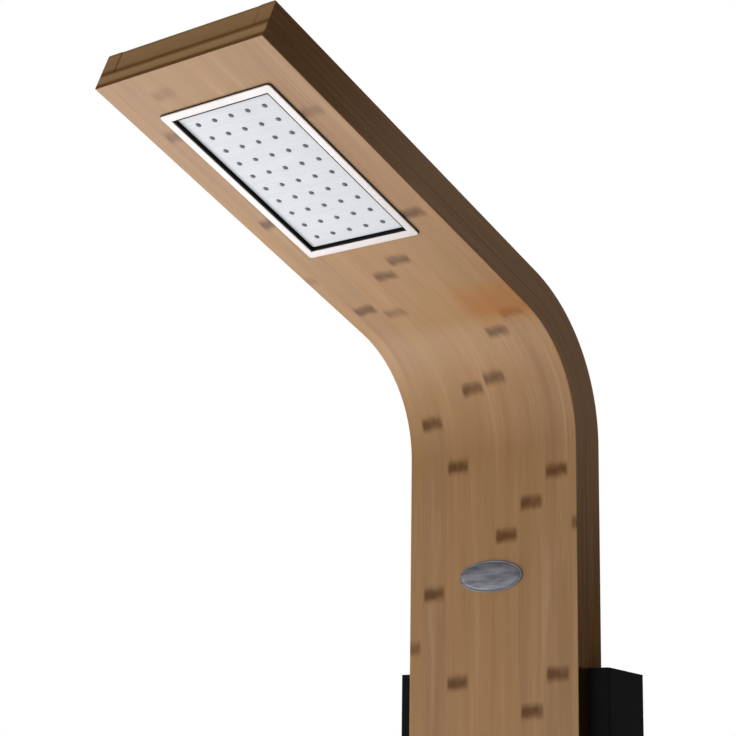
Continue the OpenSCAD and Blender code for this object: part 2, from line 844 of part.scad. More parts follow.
module rail_outline() {
    translate([-rail_t, leaf_low]) square([rail_t, groove_z + lip_h - leaf_low]);
    translate([rail_lip_y - rail_t, groove_z - rail_t]) square([groove_w + rail_t + e, rail_t]);
    translate([rail_lip_y - rail_t, groove_z - rail_t]) square([rail_t, lip_h + rail_t]);
}

module wall_rail(z) {
    difference() {
        translate([0, 0, z]) along_x(-rail_w / 2, rail_w / 2) rail_outline();
        for (x = [-1, 1]) bar_y(x * rail_hole_pitch / 2, -rail_t - 1, 1, z, rail_hole_d / 2);
    }
}

lock_r = 2;
lock_tab_t = 2;
lock_y = -16;
lock_z = lower_rail_z + leaf_low - 6;
lock_tab_x = rail_w / 2 - lock_tab_t;

module upper_wall_rail() {
    color("silver") wall_rail(0);
}

module lower_wall_rail() {
    color("silver") {
        wall_rail(lower_rail_z);
        for (x = [-1, 1]) difference() {
            translate([x * (rail_w / 2 - lock_tab_t / 2) - lock_tab_t / 2, lock_y - 6, lock_z - 6])
                cube([lock_tab_t, 6 - lock_y, 12 + e]);
            bar_x(x * rail_w / 2 - 6, x * rail_w / 2 + 6, lock_y, lock_z, lock_r + thread);
        }
    }
}

module hanger_outline() {
    hook_top = groove_z + lip_h + 3;
    leg_y = -rail_t - hook_gap - hook_t;
    translate([leg_y, groove_z]) square([hook_t, hook_top - groove_z]);
    translate([hanger_y, hook_top]) square([leg_y + hook_t - hanger_y, hook_t]);
    translate([hanger_y, 0]) square([hook_t, hook_top + hook_t]);
}

module hanger(z) {
    translate([0, 0, z]) {
        along_x(-hanger_x, hanger_x) hanger_outline();
        translate([-inside_x, hanger_y, 0]) cube([2 * inside_x, hook_t, hanger_h]);
        for (x = [0, 1]) translate([x * (2 * inside_x - hook_t) - inside_x, hanger_y - hanger_ear, 0])
            cube([hook_t, hanger_ear + hook_t, hanger_h]);
    }
}

module upper_hanger() {
    color("gray") hanger(0);
}

module lower_hanger() {
    color("gray") hanger(lower_rail_z);
}

module lock_screws() {
    color("silver") for (x = [-1, 1]) {
        near = lock_tab_x - 3;
        far = housing_w / 2 - 0.2;
        bar_x(x > 0 ? near : -far, x > 0 ? far : -near, lock_y, lock_z, lock_r);
    }
}

// Body jets

module jet_bezels() {
    color("gainsboro") for (x = jet_xs, z = jet_z) difference() {
        along_y(x, front_y - jet_bezel_t, z) rotate_extrude() polygon([
            [0, 0], [jet_bezel_d / 2 - 3, 0], [jet_bezel_d / 2, jet_bezel_t - 1.5],
            [jet_bezel_d / 2, jet_bezel_t], [0, jet_bezel_t]
        ]);
        translate([x, ball_y, z]) sphere(seat_r);
    }
}

// The turned cup of one jet with its cross tube, open at the top when it feeds a jet above
module jet_body(x, z, through) {
    half = jet_tee_len / 2;
    bottom = z - half;
    top = z + half;
    difference() {
        union() {
            bar_y(x, front_y, jet_body_end, z, jet_body_r);
            bar_y(x, jet_body_end - 1, jet_pipe_y, z, jet_tee_r);
            bar_z(x, jet_pipe_y, bottom, top, jet_tee_r);
        }
        translate([x, ball_y, z]) sphere(seat_r);
        bar_y(x, front_y - 1, ball_y, z, seat_r);
        bar_y(x, ball_y, jet_pipe_y, z, jet_pipe_r - 2);
        bar_z(x, jet_pipe_y, bottom - 1, through ? top + 1 : z, jet_pipe_r - 2);
        bar_z(x, jet_pipe_y, bottom - 1, bottom + 10, jet_pipe_r + thread);
        if (through) bar_z(x, jet_pipe_y, top - 10, top + 1, jet_pipe_r + thread);
    }
}

module jet_bodies() {
    color("goldenrod") for (x = jet_xs, i = [0, 1]) jet_body(x, jet_z[i], i == 1);
}

module jet_seals() {
    color("dimgray") for (x = jet_xs, z = jet_z) difference() {
        bar_y(x, inside_y, inside_y + washer_t, z, jet_body_r + 5);
        bar_y(x, inside_y - 1, inside_y + washer_t + 1, z, jet_body_r + 0.1);
    }
}

module jet_nuts() {
    y0 = inside_y + washer_t;
    color("goldenrod") for (x = jet_xs, z = jet_z) difference() {
        along_y(x, y0, z) cylinder(h = jet_nut_t, r = jet_body_r + 7, $fn = 6);
        bar_y(x, y0 - 1, y0 + jet_nut_t + 1, z, jet_body_r + thread);
    }
}

// A swivelling ball with a flat face and a ring of spray holes, centred on its own middle
module jet_ball() {
    flat = ball_r - 3;
    difference() {
        along_y(0, 0, 0) rotate_extrude() difference() {
            circle(ball_r);
            translate([-2 * ball_r, -ball_r]) square([2 * ball_r, 2 * ball_r]);
            translate([-e, -ball_r - flat]) square([ball_r, ball_r]);
            translate([-e, 2 - flat]) square([ball_r / 2, 2 * ball_r]);
        }
        for (i = [0 : jet_holes - 1]) rotate([0, i * 360 / jet_holes, 0])
            bar_y(ball_r / 3, -ball_r, 0, 0, 0.7, $fn = 24);
        bar_y(0, -ball_r, 0, 0, 0.7, $fn = 24);
    }
}

module jet_ball_at(x, z) {
    color("silver") translate([x, ball_y, z]) jet_ball();
}

module jet_ball_1() {
    jet_ball_at(jet_xs[0], jet_z[0]);
}

module jet_ball_2() {
    jet_ball_at(jet_xs[1], jet_z[0]);
}

module jet_ball_3() {
    jet_ball_at(jet_xs[0], jet_z[1]);
}

module jet_ball_4() {
    jet_ball_at(jet_xs[1], jet_z[1]);
}

module jet_pipe_ring() {
    difference() {
        circle(jet_pipe_r);
        circle(jet_pipe_r - 1);
    }
}

module jet_pipes() {
    bend = jet_pitch_x / 2 - jet_port_x;
    seat = jet_tee_len / 2 - 10;
    color("gray") for (side = [0, 1]) mirror([side, 0, 0]) {
        translate([jet_pitch_x / 2, jet_pipe_y, jet_z[1] + seat])
            linear_extrude(jet_z[0] - jet_z[1] - 2 * seat) jet_pipe_ring();
        translate([jet_pitch_x / 2, jet_pipe_y, diverter_z + bend])
            linear_extrude(jet_z[1] - seat - diverter_z - bend) jet_pipe_ring();
        translate([jet_port_x, jet_pipe_y, diverter_z + bend]) rotate([90, 0, 0]) rotate([0, 0, -90])
            rotate_extrude(angle = 90) translate([bend, 0]) jet_pipe_ring();
        translate([jet_port_x - 10, jet_pipe_y, diverter_z]) rotate([0, 90, 0])
            linear_extrude(10) jet_pipe_ring();
    }
}

// Diverter

// A water port on a valve body, upwards or downwards from height z, with a seat for the pipe
module water_port(z, up) {
    z0 = up ? z : z - port_reach;
    bar_z(0, pipe_y, z0, z0 + port_reach, port_r);
}

module water_port_bore(z, up) {
    seat = up ? z + port_seat : z - port_reach - 1;
    z0 = up ? z : z - port_reach;
    bar_z(0, pipe_y, z0, z0 + port_reach, pipe_d / 2 - pipe_wall);
    bar_z(0, pipe_y, seat, seat + port_reach - port_seat + 1, pipe_d / 2 + run);
}

module diverter_body() {
    color("goldenrod") difference() {
        union() {
            bar_y(0, inside_y, -14, diverter_z, diverter_body_r);
            bar_y(0, valve_neck_end, inside_y + 1, diverter_z, diverter_neck_r);
            water_port(diverter_z, true);
            water_port(diverter_z, false);
            bar_x(-jet_port_x, jet_port_x, jet_pipe_y, diverter_z, jet_tee_r);
        }
        water_port_bore(diverter_z + diverter_body_r - 6, true);
        water_port_bore(diverter_z, true);
        water_port_bore(diverter_z, false);
        bar_x(-jet_port_x - 1, jet_port_x + 1, jet_pipe_y, diverter_z, jet_pipe_r - 2);
        for (x = [-1, 1]) {
            bar_x(x > 0 ? jet_port_x - 10 : -jet_port_x - 1, x > 0 ? jet_port_x + 1 : 10 - jet_port_x,
                jet_pipe_y, diverter_z, jet_pipe_r + thread);
        }
        bar_y(0, valve_neck_end - 1, spindle_back, diverter_z, spindle_r + run);
    }
}

// A hexagonal locknut on a valve's neck, clamping the board and the housing
module locknut(z, neck_r, hex_r) {
    difference() {
        along_y(0, valve_neck_end, z) cylinder(h = front_y - valve_neck_end, r = hex_r, $fn = 6);
        bar_y(0, valve_neck_end - 1, front_y + 1, z, neck_r + thread);
    }
}

module diverter_locknut() {
    color("goldenrod") locknut(diverter_z, diverter_neck_r, diverter_neck_r + 6);
}

// A round cover over a locknut, with a bore of radius bore_r in its face
module escutcheon(z, r, bore_r) {
    face = front_y - escutcheon_t;
    difference() {
        along_y(0, face, z) rotate_extrude() polygon([
            [bore_r, 0], [r - 2, 0], [r, 2], [r, escutcheon_t], [r - escutcheon_skin, escutcheon_t],
            [r - escutcheon_skin, escutcheon_skin + 1], [r - escutcheon_skin - 1, escutcheon_skin],
            [bore_r, escutcheon_skin]
        ]);
    }
}

module diverter_escutcheon() {
    color("gainsboro") escutcheon(diverter_z, diverter_neck_r + 13, spindle_r + 0.6);
}

module diverter_spindle() {
    color("silver") bar_y(0, knob_back - knob_grip, spindle_back - fit, diverter_z, spindle_r);
}

module diverter_knob() {
    flutes = 16;
    front = knob_back - knob_h;
    color("gainsboro") difference() {
        along_y(0, front, diverter_z) rotate_extrude() polygon([
            [0, 0], [knob_d / 2 - 2, 0], [knob_d / 2, 2], [knob_d / 2, knob_h - 1],
            [knob_d / 2 - 1, knob_h], [0, knob_h]
        ]);
        for (i = [0 : flutes - 1]) translate([0, 0, diverter_z]) rotate([0, i * 360 / flutes, 0])
            bar_y(knob_d / 2 + 1.2, front + 3, knob_back + 1, 0, 2.4);
        bar_y(0, knob_back - knob_grip, knob_back + 1, diverter_z, spindle_r + 0.02);
        bar_z(0, knob_back - knob_h / 2, diverter_z, diverter_z + knob_d, knob_screw_r + thread);
    }
}

knob_grip = 16;
knob_screw_r = 2;

module knob_screw() {
    color("silver") bar_z(0, knob_back - knob_h / 2, diverter_z + spindle_r + 0.02,
        diverter_z + knob_d / 2 - 2, knob_screw_r);
}

// Mixer

module link_pipe() {
    z0 = mixer_z + port_seat;
    z1 = diverter_z - port_seat;
    color("gray") translate([0, pipe_y, z0]) linear_extrude(z1 - z0) pipe_ring();
}

inlet_socket = 12;
elbow_drop = 26;
elbow_rise = 12;
elbow_low = mixer_z - elbow_drop;
elbow_top = mixer_z + elbow_rise;

module mixer_body() {
    x0 = inlet_pitch / 2;
    color("goldenrod") difference() {
        union() {
            bar_y(0, inside_y, -10, mixer_z, mixer_body_r);
            bar_y(0, valve_neck_end, inside_y + 1, mixer_z, mixer_neck_r);
            water_port(mixer_z, true);
            bar_x(-x0, x0, inlet_y, mixer_z, 10);
            for (x = [-1, 1]) bar_z(x * x0, inlet_y, elbow_low, elbow_top, elbow_r);
        }
        bar_y(0, valve_neck_end - 1, cartridge_back, mixer_z, cavity_r);
        water_port_bore(mixer_z, true);
        for (x = [-1, 1]) {
            bar_z(x * x0, inlet_y, elbow_low - 1, elbow_low + inlet_socket, inlet_r + thread);
            bar_z(x * x0, inlet_y, elbow_low, mixer_z + 7, 7);
            bar_x(x > 0 ? 8 : -x0, x > 0 ? x0 : -8, inlet_y, mixer_z, 7);
            bar_y(x * 10, cartridge_back - 1, inlet_y, mixer_z, 3.5);
        }
    }
}

inlet_len = 44;

// A threaded nipple that screws up into one of the mixer's elbows
module inlet_nipple(x) {
    z1 = elbow_low + inlet_socket;
    z0 = z1 - inlet_len;
    difference() {
        union() {
            bar_z(x, inlet_y, z0, z1, inlet_r);
            translate([x, inlet_y, elbow_low - 7]) cylinder(h = 7, r = inlet_r + 3.5, $fn = 6);
        }
        bar_z(x, inlet_y, z0 - 1, z1 + 1, 7);
    }
}

module hot_inlet() {
    color("goldenrod") inlet_nipple(-inlet_pitch / 2);
}

module cold_inlet() {
    color("goldenrod") inlet_nipple(inlet_pitch / 2);
}

nut_y = valve_neck_end + 3;

module mixer_cartridge() {
    color("white") difference() {
        bar_y(0, nut_y, cartridge_back, mixer_z, cartridge_d / 2);
        bar_y(0, nut_y - 1, cartridge_back - 4, mixer_z, shaft_r + run);
    }
}

module cartridge_nut() {
    color("goldenrod") difference() {
        bar_y(0, valve_neck_end, nut_y, mixer_z, cartridge_d / 2);
        bar_y(0, valve_neck_end - 1, nut_y + 1, mixer_z, shaft_r + 1);
    }
}

module mixer_locknut() {
    color("goldenrod") locknut(mixer_z, mixer_neck_r, mixer_neck_r + 6);
}

module mixer_escutcheon() {
    color("gainsboro") escutcheon(mixer_z, mixer_neck_r + 13, dome_r + 0.4);
}

// The turning dome: it runs in the cartridge and carries the lever's hinge pin
module mixer_dome() {
    color("gainsboro") difference() {
        union() {
            translate([0, dome_y, mixer_z]) sphere(dome_r);
            bar_y(0, dome_y, dome_y + dome_base, mixer_z, dome_r);
            bar_y(0, dome_y, cartridge_back - 6, mixer_z, shaft_r);
        }
        translate([-dome_d, dome_y + dome_base, mixer_z - dome_d]) difference() {
            cube([2 * dome_d, dome_d, 2 * dome_d]);
            along_y(dome_d, -1, dome_d) cylinder(h = dome_d + 2, r = shaft_r);
        }
        translate([-slot_half, dome_y - dome_d, mixer_z - slot_half])
            cube([2 * slot_half, dome_d + slot_half + 0.6, 2 * slot_half + 10]);
        bar_x(-dome_d, dome_d, dome_y, mixer_z, lever_pin_r + run);
    }
}

stem_end = dome_y - dome_r - handle_gap - 4;
hub_front = dome_y - dome_r - handle_gap - handle_wall - 3;

module lever_spindle() {
    color("silver") difference() {
        union() {
            bar_x(-slot_half + 0.2, slot_half - 0.2, dome_y, mixer_z, hub_r);
            bar_y(0, stem_end, dome_y, mixer_z, stem_r);
        }
        bar_x(-dome_d, dome_d, dome_y, mixer_z, lever_pin_r + thread);
        bar_y(0, stem_end - 1, stem_end + 10, mixer_z, lever_screw_r + thread);
    }
}

module lever_pin() {
    color("silver") bar_x(-dome_r + 4, dome_r - 4, dome_y, mixer_z, lever_pin_r);
}

lever_screw_r = 1.5;
blade_t = 7;
blade_tip_t = 4;
blade_fall = 8;
blade_root = 18;
blade_knee = 30;
blade_room = 20;

// The lever: a cap over the dome and a blade that hangs from it
module mixer_lever() {
    inner = dome_r + handle_gap;
    outer = inner + handle_wall;
    cut = dome_y - handle_cut;
    color("gainsboro") difference() {
        union() {
            intersection() {
                translate([0, dome_y, mixer_z]) sphere(outer);
                bar_y(0, dome_y - outer - 1, cut, mixer_z, outer + 1);
            }
            bar_y(0, hub_front, dome_y - inner, mixer_z, 9);
            intersection() {
                along_x(-lever_w / 2, lever_w / 2) polygon([
                    [dome_y - inner - 0.6 * handle_wall, mixer_z], [hub_front + 2, mixer_z],
                    [hub_front - blade_fall, mixer_z - lever_len],
                    [hub_front - blade_fall + blade_tip_t, mixer_z - lever_len],
                    [hub_front + blade_t, mixer_z - blade_knee], [cut - 2, mixer_z - blade_root]
                ]);
                along_y(0, hub_front - blade_room, mixer_z) linear_extrude(3 * blade_room)
                    mirror([0, 1]) union() {
                    polygon([
                        [-lever_w / 2, -e], [lever_w / 2, -e],
                        [lever_w / 3, -lever_len + lever_w / 3], [-lever_w / 3, -lever_len + lever_w / 3]
                    ]);
                    translate([0, -lever_len + lever_w / 3]) circle(lever_w / 3);
                }
            }
        }
        translate([0, dome_y, mixer_z]) sphere(inner);
        bar_y(0, stem_end, dome_y, mixer_z, stem_r + 0.02);
        bar_y(0, hub_front - 1, stem_end + 1, mixer_z, lever_screw_r + thread);
        bar_y(0, hub_front - 1, hub_front + 2, mixer_z, 3.2);
    }
}

module lever_screw() {
    color("silver") {
        bar_y(0, hub_front + 0.2, hub_front + 2, mixer_z, 3);
        bar_y(0, hub_front + 2 - e, stem_end + 9, mixer_z, lever_screw_r);
    }
}

front_board();
side_wall_left();
side_wall_right();
end_panel();
back_cover();
back_cover_screws();
badge_plate();
head_bezel();
head_tray();
tray_screws();
spray_plate();
nozzle_mat();
spray_chamber();
chamber_nuts();
chamber_screws();
inlet_seal();
riser_pipe();
pipe_coupler();
head_pipe();
pipe_clips();
housing_shell();
top_cap();
bottom_cap();
column_bracket();
column_screws();
board_screws();
upper_hanger();
lower_hanger();
upper_wall_rail();
lower_wall_rail();
lock_screws();
jet_bezels();
jet_bodies();
jet_seals();
jet_nuts();
jet_ball_1();
jet_ball_2();
jet_ball_3();
jet_ball_4();
jet_pipes();
diverter_body();
diverter_locknut();
diverter_escutcheon();
diverter_spindle();
diverter_knob();
knob_screw();
link_pipe();
mixer_body();
hot_inlet();
cold_inlet();
mixer_cartridge();
cartridge_nut();
mixer_locknut();
mixer_escutcheon();
mixer_dome();
lever_spindle();
lever_pin();
mixer_lever();
lever_screw();
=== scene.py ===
"""The looks of a bent bamboo shower column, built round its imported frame."""

import json
import logging
import math
from dataclasses import dataclass
from enum import Enum
from functools import partial, reduce
from typing import Callable, Iterable, Sequence

import bmesh
import bpy
from mathutils import Matrix, Vector


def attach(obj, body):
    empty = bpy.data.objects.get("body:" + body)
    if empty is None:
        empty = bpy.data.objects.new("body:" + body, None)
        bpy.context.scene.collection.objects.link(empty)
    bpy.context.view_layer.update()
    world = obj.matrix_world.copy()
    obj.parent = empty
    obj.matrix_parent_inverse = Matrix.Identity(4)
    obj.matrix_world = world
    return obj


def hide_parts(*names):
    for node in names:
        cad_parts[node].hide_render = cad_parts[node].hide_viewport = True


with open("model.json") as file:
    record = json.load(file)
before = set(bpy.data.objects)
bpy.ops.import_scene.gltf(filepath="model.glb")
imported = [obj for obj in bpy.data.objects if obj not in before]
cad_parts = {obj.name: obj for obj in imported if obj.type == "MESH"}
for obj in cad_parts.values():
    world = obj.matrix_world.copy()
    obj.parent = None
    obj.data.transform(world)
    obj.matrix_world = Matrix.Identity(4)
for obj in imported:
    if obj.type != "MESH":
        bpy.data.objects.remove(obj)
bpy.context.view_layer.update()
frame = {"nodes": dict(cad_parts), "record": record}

LOG = logging.getLogger("shower_column")
MM = 0.001

Point = tuple[float, float]
Place = tuple[float, float, float]
Paint = tuple[float, float, float, float]
Stops = Sequence[tuple[float, object]]
Socket = bpy.types.NodeSocket
BMesh = bmesh.types.BMesh
Piece = bpy.types.Object


def srgb(red: int, green: int, blue: int) -> Paint:
    """Turns a colour written as on a screen into the linear values that shaders use.

    Args:
        red: red, 0 to 255.
        green: green, 0 to 255.
        blue: blue, 0 to 255.

    Returns:
        The linear colour with an alpha of 1.
    """
    def linear(value: int) -> float:
        """Undoes the screen's curve."""
        part = value / 255
        return part / 12.92 if part <= 0.04045 else ((part + 0.055) / 1.055) ** 2.4
    return linear(red), linear(green), linear(blue), 1.0


# Shader graphs


class Graph:
    """A node tree with short calls for the nodes that the finishes use."""

    def __init__(self, tree: bpy.types.NodeTree) -> None:
        """Keeps the tree that the nodes go into."""
        self.tree = tree

    def node(self, kind: str, inputs: dict | None = None, **settings: object) -> bpy.types.Node:
        """Adds a node.

        Args:
            kind: the node's type, without its ShaderNode prefix.
            inputs: values or sockets by input name or number.
            settings: attributes to set on the node.

        Returns:
            The new node.
        """
        made = self.tree.nodes.new("ShaderNode" + kind)
        for name, value in settings.items():
            setattr(made, name, value)
        for key, value in (inputs or {}).items():
            self.feed(made.inputs[key], value)
        return made

    def feed(self, socket: Socket, value: object) -> None:
        """Links a socket into an input, or sets the input to a plain value.

        Args:
            socket: the input.
            value: another node's output, or a plain value.
        """
        if isinstance(value, Socket):
            self.tree.links.new(value, socket)
        else:
            socket.default_value = value

    def math(self, operation: str, *values: object, clamp: bool = False) -> Socket:
        """Returns a Math node's result on up to three values."""
        made = self.node("Math", dict(enumerate(values)), operation=operation, use_clamp=clamp)
        return made.outputs[0]

    def plus(self, *values: object) -> Socket:
        """Returns the sum of the values."""
        return reduce(partial(self.math, "ADD"), values)

    def minus(self, *values: object) -> Socket:
        """Returns the first value less all the others."""
        return reduce(partial(self.math, "SUBTRACT"), values)

    def times(self, *values: object) -> Socket:
        """Returns the product of the values."""
        return reduce(partial(self.math, "MULTIPLY"), values)

    def flip(self, value: object) -> Socket:
        """Returns one less the value."""
        return self.minus(1.0, value)

    def apart(self, first: object, second: object) -> Socket:
        """Returns how far two values are apart."""
        return self.math("ABSOLUTE", self.minus(first, second))

    def step(self, value: object, low: float, high: float) -> Socket:
        """Returns a smooth step of value from 0 at low to 1 at high."""
        inputs = {"Value": value, "From Min": low, "From Max": high}
        return self.node("MapRange", inputs, interpolation_type="SMOOTHSTEP").outputs["Result"]

    def spread(self, value: object, low: float, high: float) -> Socket:
        """Returns a 0 to 1 value stretched to run from low to high."""
        return self.node("MapRange", {"Value": value, "To Min": low, "To Max": high}).outputs["Result"]

    def noise(self, vector: Socket, scale: Place, detail: float = 3.0, roughness: float = 0.55,
              distortion: float = 0.0) -> Socket:
        """Adds a noise.

        Args:
            vector: where the noise is read.
            scale: how tight it is along each axis.
            detail: how many finer layers it has.
            roughness: how strong these layers are.
            distortion: how far it is warped.

        Returns:
            The noise's 0 to 1 value.
        """
        inputs = {"Vector": self.stretched(vector, scale), "Scale": 1.0, "Detail": detail,
                  "Roughness": roughness, "Distortion": distortion}
        return self.node("TexNoise", inputs).outputs[0]

    def chance(self, value: object) -> Socket:
        """Returns a fixed random number for each value."""
        return self.node("TexWhiteNoise", {"W": value}, noise_dimensions="1D").outputs[0]

    def stretched(self, vector: Socket, scale: Place) -> Socket:
        """Returns the vector with each part scaled."""
        return self.node("VectorMath", {0: vector, 1: scale}, operation="MULTIPLY").outputs[0]

    def joined(self, x: object, y: object, z: object) -> Socket:
        """Returns a vector made from three values."""
        return self.node("CombineXYZ", {0: x, 1: y, 2: z}).outputs[0]

    def parts(self, vector: Socket) -> list[Socket]:
        """Returns a vector's three values."""
        return list(self.node("SeparateXYZ", {0: vector}).outputs)

    def mix(self, factor: object, first: object, second: object) -> Socket:
        """Returns a mix of two colours."""
        return self.node("Mix", {0: factor, 6: first, 7: second}, data_type="RGBA").outputs[2]

    def layered(self, colour: object, layers: Stops) -> Socket:
        """Returns a colour with others laid over it, each by its own factor."""
        return reduce(lambda below, layer: self.mix(layer[0], below, layer[1]), layers, colour)

    def ramp(self, factor: object, stops: Stops) -> Socket:
        """Adds a colour ramp.

        Args:
            factor: the value that runs along the ramp.
            stops: pairs of place and colour or grey value.

        Returns:
            The ramp's colour.
        """
        made = self.node("ValToRGB", {0: factor})
        stops = sorted(stops, key=lambda stop: stop[0])
        elements = made.color_ramp.elements
        while len(elements) < len(stops):
            elements.new(1.0)
        for element, (place, _) in zip(elements, stops):
            element.position = place
        for element, (_, colour) in zip(elements, stops):
            element.color = colour if isinstance(colour, tuple) else (colour, colour, colour, 1.0)
        return made.outputs[0]

    def bump(self, height: Socket, strength: float, distance: float) -> Socket:
        """Returns a normal bent by a height; distance is in metres."""
        inputs = {"Height": height, "Strength": strength, "Distance": distance}
        return self.node("Bump", inputs).outputs[0]

    def place(self) -> Socket:
        """Returns the point's place in the object, in metres."""
        return self.node("TexCoord").outputs["Object"]


@dataclass(frozen=True)
class Finish:
    """A surface finish: its material is made once and given to every piece that asks for it."""

    name: str

    def shade(self, graph: Graph, shader: bpy.types.Node) -> None:
        """Draws the finish's nodes; each kind of finish has its own."""
        raise NotImplementedError

    def material(self) -> bpy.types.Material:
        """Gives the finish's material.

        Returns:
            The material, made on the first call.
        """
        if self.name not in MATERIALS:
            material = bpy.data.materials.new(self.name)
            material.use_nodes = True
            self.shade(Graph(material.node_tree), material.node_tree.nodes["Principled BSDF"])
            MATERIALS[self.name] = material
        return MATERIALS[self.name]


MATERIALS: dict[str, bpy.types.Material] = {}


def surface(graph: Graph, shader: bpy.types.Node, colour: Socket, rough: Socket, normal: Socket,
            even: dict[str, float]) -> None:
    """Feeds a finish's nodes into its shader.

    Args:
        graph: the material's graph.
        shader: its shader.
        colour: the colour.
        rough: the roughness.
        normal: the bent normal.
        even: values that are the same all over, by the name of their input.
    """
    graph.feed(shader.inputs["Base Color"], colour)
    graph.feed(shader.inputs["Roughness"], rough)
    graph.feed(shader.inputs["Normal"], normal)
    for name, value in even.items():
        shader.inputs[name].default_value = value


# The column's centre line


@dataclass(frozen=True)
class ColumnPath:
    """The front face's centre line: up the column, round the bend and along the head, in mm."""

    bend_r: float = 126.0
    tilt: float = math.radians(67.3)
    front_y: float = -71.5
    bend_z: float = 280.0
    head_len: float = 389.0
    foot: float = -1198.0
    turns: int = 40

    @property
    def arc(self) -> float:
        """Length of the bend along the front face."""
        return self.bend_r * self.tilt

    @property
    def tip(self) -> float:
        """Length from the start of the bend to the head's tip."""
        return self.arc + self.head_len

    def at(self, s: float) -> Matrix:
        """Gives the front face's frame s mm beyond the start of the bend.

        Args:
            s: length along the front face, below zero on the straight column.

        Returns:
            A matrix in metres: x across, y towards the tip, z outwards.
        """
        angle = min(max(s / self.bend_r, 0.0), self.tilt)
        along = Vector((0, -math.sin(angle), math.cos(angle)))
        outward = Vector((0, -math.cos(angle), -math.sin(angle)))
        middle = Vector((0, self.front_y - self.bend_r, self.bend_z))
        spare = s - angle * self.bend_r
        origin = (middle - outward * self.bend_r + along * spare) * MM
        return Matrix.Translation(origin) @ Matrix((
            (1, along.x, outward.x, 0), (0, along.y, outward.y, 0), (0, along.z, outward.z, 0), (0, 0, 0, 1)))

    def head(self, t: float) -> Matrix:
        """Gives the frame t mm beyond the end of the bend."""
        return self.at(self.arc + t)

    def stations(self, low: float, high: float) -> list[float]:
        """Returns the places along the path where a sweep needs a section."""
        inner = [self.arc * i / self.turns for i in range(self.turns + 1)]
        return [low] + [s for s in inner if low + 0.01 < s < high - 0.01] + [high]


PATH = ColumnPath()


def column_coordinates() -> bpy.types.NodeTree:
    """Makes the node group that unrolls the bent column.

    Returns:
        A group whose output is (across, along, depth) in mm, with along = 0 at the bend's start.
    """
    tree = bpy.data.node_groups.new("column_coordinates", "ShaderNodeTree")
    tree.interface.new_socket("Unrolled", in_out="OUTPUT", socket_type="NodeSocketVector")
    graph = Graph(tree)
    x, y, z = graph.parts(graph.stretched(graph.place(), (1000, 1000, 1000)))
    out = graph.minus(y, PATH.front_y - PATH.bend_r)
    up = graph.minus(z, PATH.bend_z)
    turned = graph.math("MAXIMUM", graph.math("ARCTAN2", up, out), 0.0)
    turned = graph.math("MINIMUM", turned, PATH.tilt)
    ahead = graph.minus(graph.times(up, math.cos(PATH.tilt)), graph.times(out, math.sin(PATH.tilt)))
    ahead = graph.math("MAXIMUM", ahead, 0.0)
    below = graph.math("MINIMUM", up, 0.0)
    above = graph.math("MAXIMUM", up, 0.0)
    along = graph.plus(graph.math("MULTIPLY_ADD", turned, PATH.bend_r, below), ahead)
    square = graph.plus(graph.times(out, out), graph.times(above, above))
    square = graph.math("MAXIMUM", graph.minus(square, graph.times(ahead, ahead)), 0.0)
    depth = graph.minus(graph.math("SQRT", square), PATH.bend_r)
    end = tree.nodes.new("NodeGroupOutput")
    graph.feed(end.inputs[0], graph.joined(x, along, depth))
    return tree


UNROLLED = column_coordinates()


# Finishes


class Cut(Enum):
    """Which faces of the bamboo a finish covers."""

    FRONT = "front"
    WALL = "wall"
    END = "end"
    BACK = "back"


class Wood:
    """The bamboo's colours, as named layers; a ramp's stops are pairs of place and colour."""

    FIBRES = [(0.28, srgb(135, 99, 64)), (0.5, srgb(153, 118, 81)), (0.74, srgb(169, 136, 98))]
    ROSY = srgb(153, 111, 74)
    DULL = srgb(141, 104, 72)
    WARM = srgb(160, 118, 72)
    DEEP = srgb(134, 97, 64)
    PALE = srgb(172, 138, 103)
    GILT = srgb(160, 119, 70)
    OLIVE = srgb(146, 116, 72)
    AMBER = srgb(150, 97, 44)
    MARK_HALO = srgb(120, 78, 34)
    MARK = srgb(86, 51, 11)
    SEAM = srgb(101, 70, 44)
    # The sides' ply and stain colours; their darkness is partly painted shade
    PLIES = [(0.3, srgb(92, 65, 41)), (0.52, srgb(115, 83, 55)), (0.72, srgb(138, 104, 71))]
    STAIN_AND_SHADE_DARK = srgb(40, 26, 16)
    STAIN_FADED = srgb(150, 124, 101)
    PLY_GLUE = srgb(36, 24, 15)
    # Nearly black painted shade for the board's side edge beside the housing
    HOUSING_SHADE_DARK = srgb(34, 22, 10)
    HOUSING_SHADE_PALE = srgb(46, 32, 18)
    END_BANDS = [(0.3, srgb(116, 87, 57)), (0.55, srgb(134, 103, 70)), (0.75, srgb(146, 114, 80))]
    # Colours through the end's depth; the dark band at the front edge is partly the face ply and partly
    # painted shade of the rounded arris
    END_LAYERS = [
        (0.0, srgb(98, 64, 34)), (0.09, srgb(92, 58, 29)), (0.15, srgb(158, 124, 86)),
        (0.3, srgb(166, 132, 93)), (0.37, srgb(118, 84, 52)), (0.41, srgb(84, 54, 28)),
        (0.45, srgb(98, 68, 40)), (0.52, srgb(146, 112, 77)), (0.9, srgb(154, 120, 84)),
        (1.0, srgb(120, 92, 62))]
    END_GLUE = srgb(70, 46, 26)
    BUNDLE = srgb(82, 54, 32)


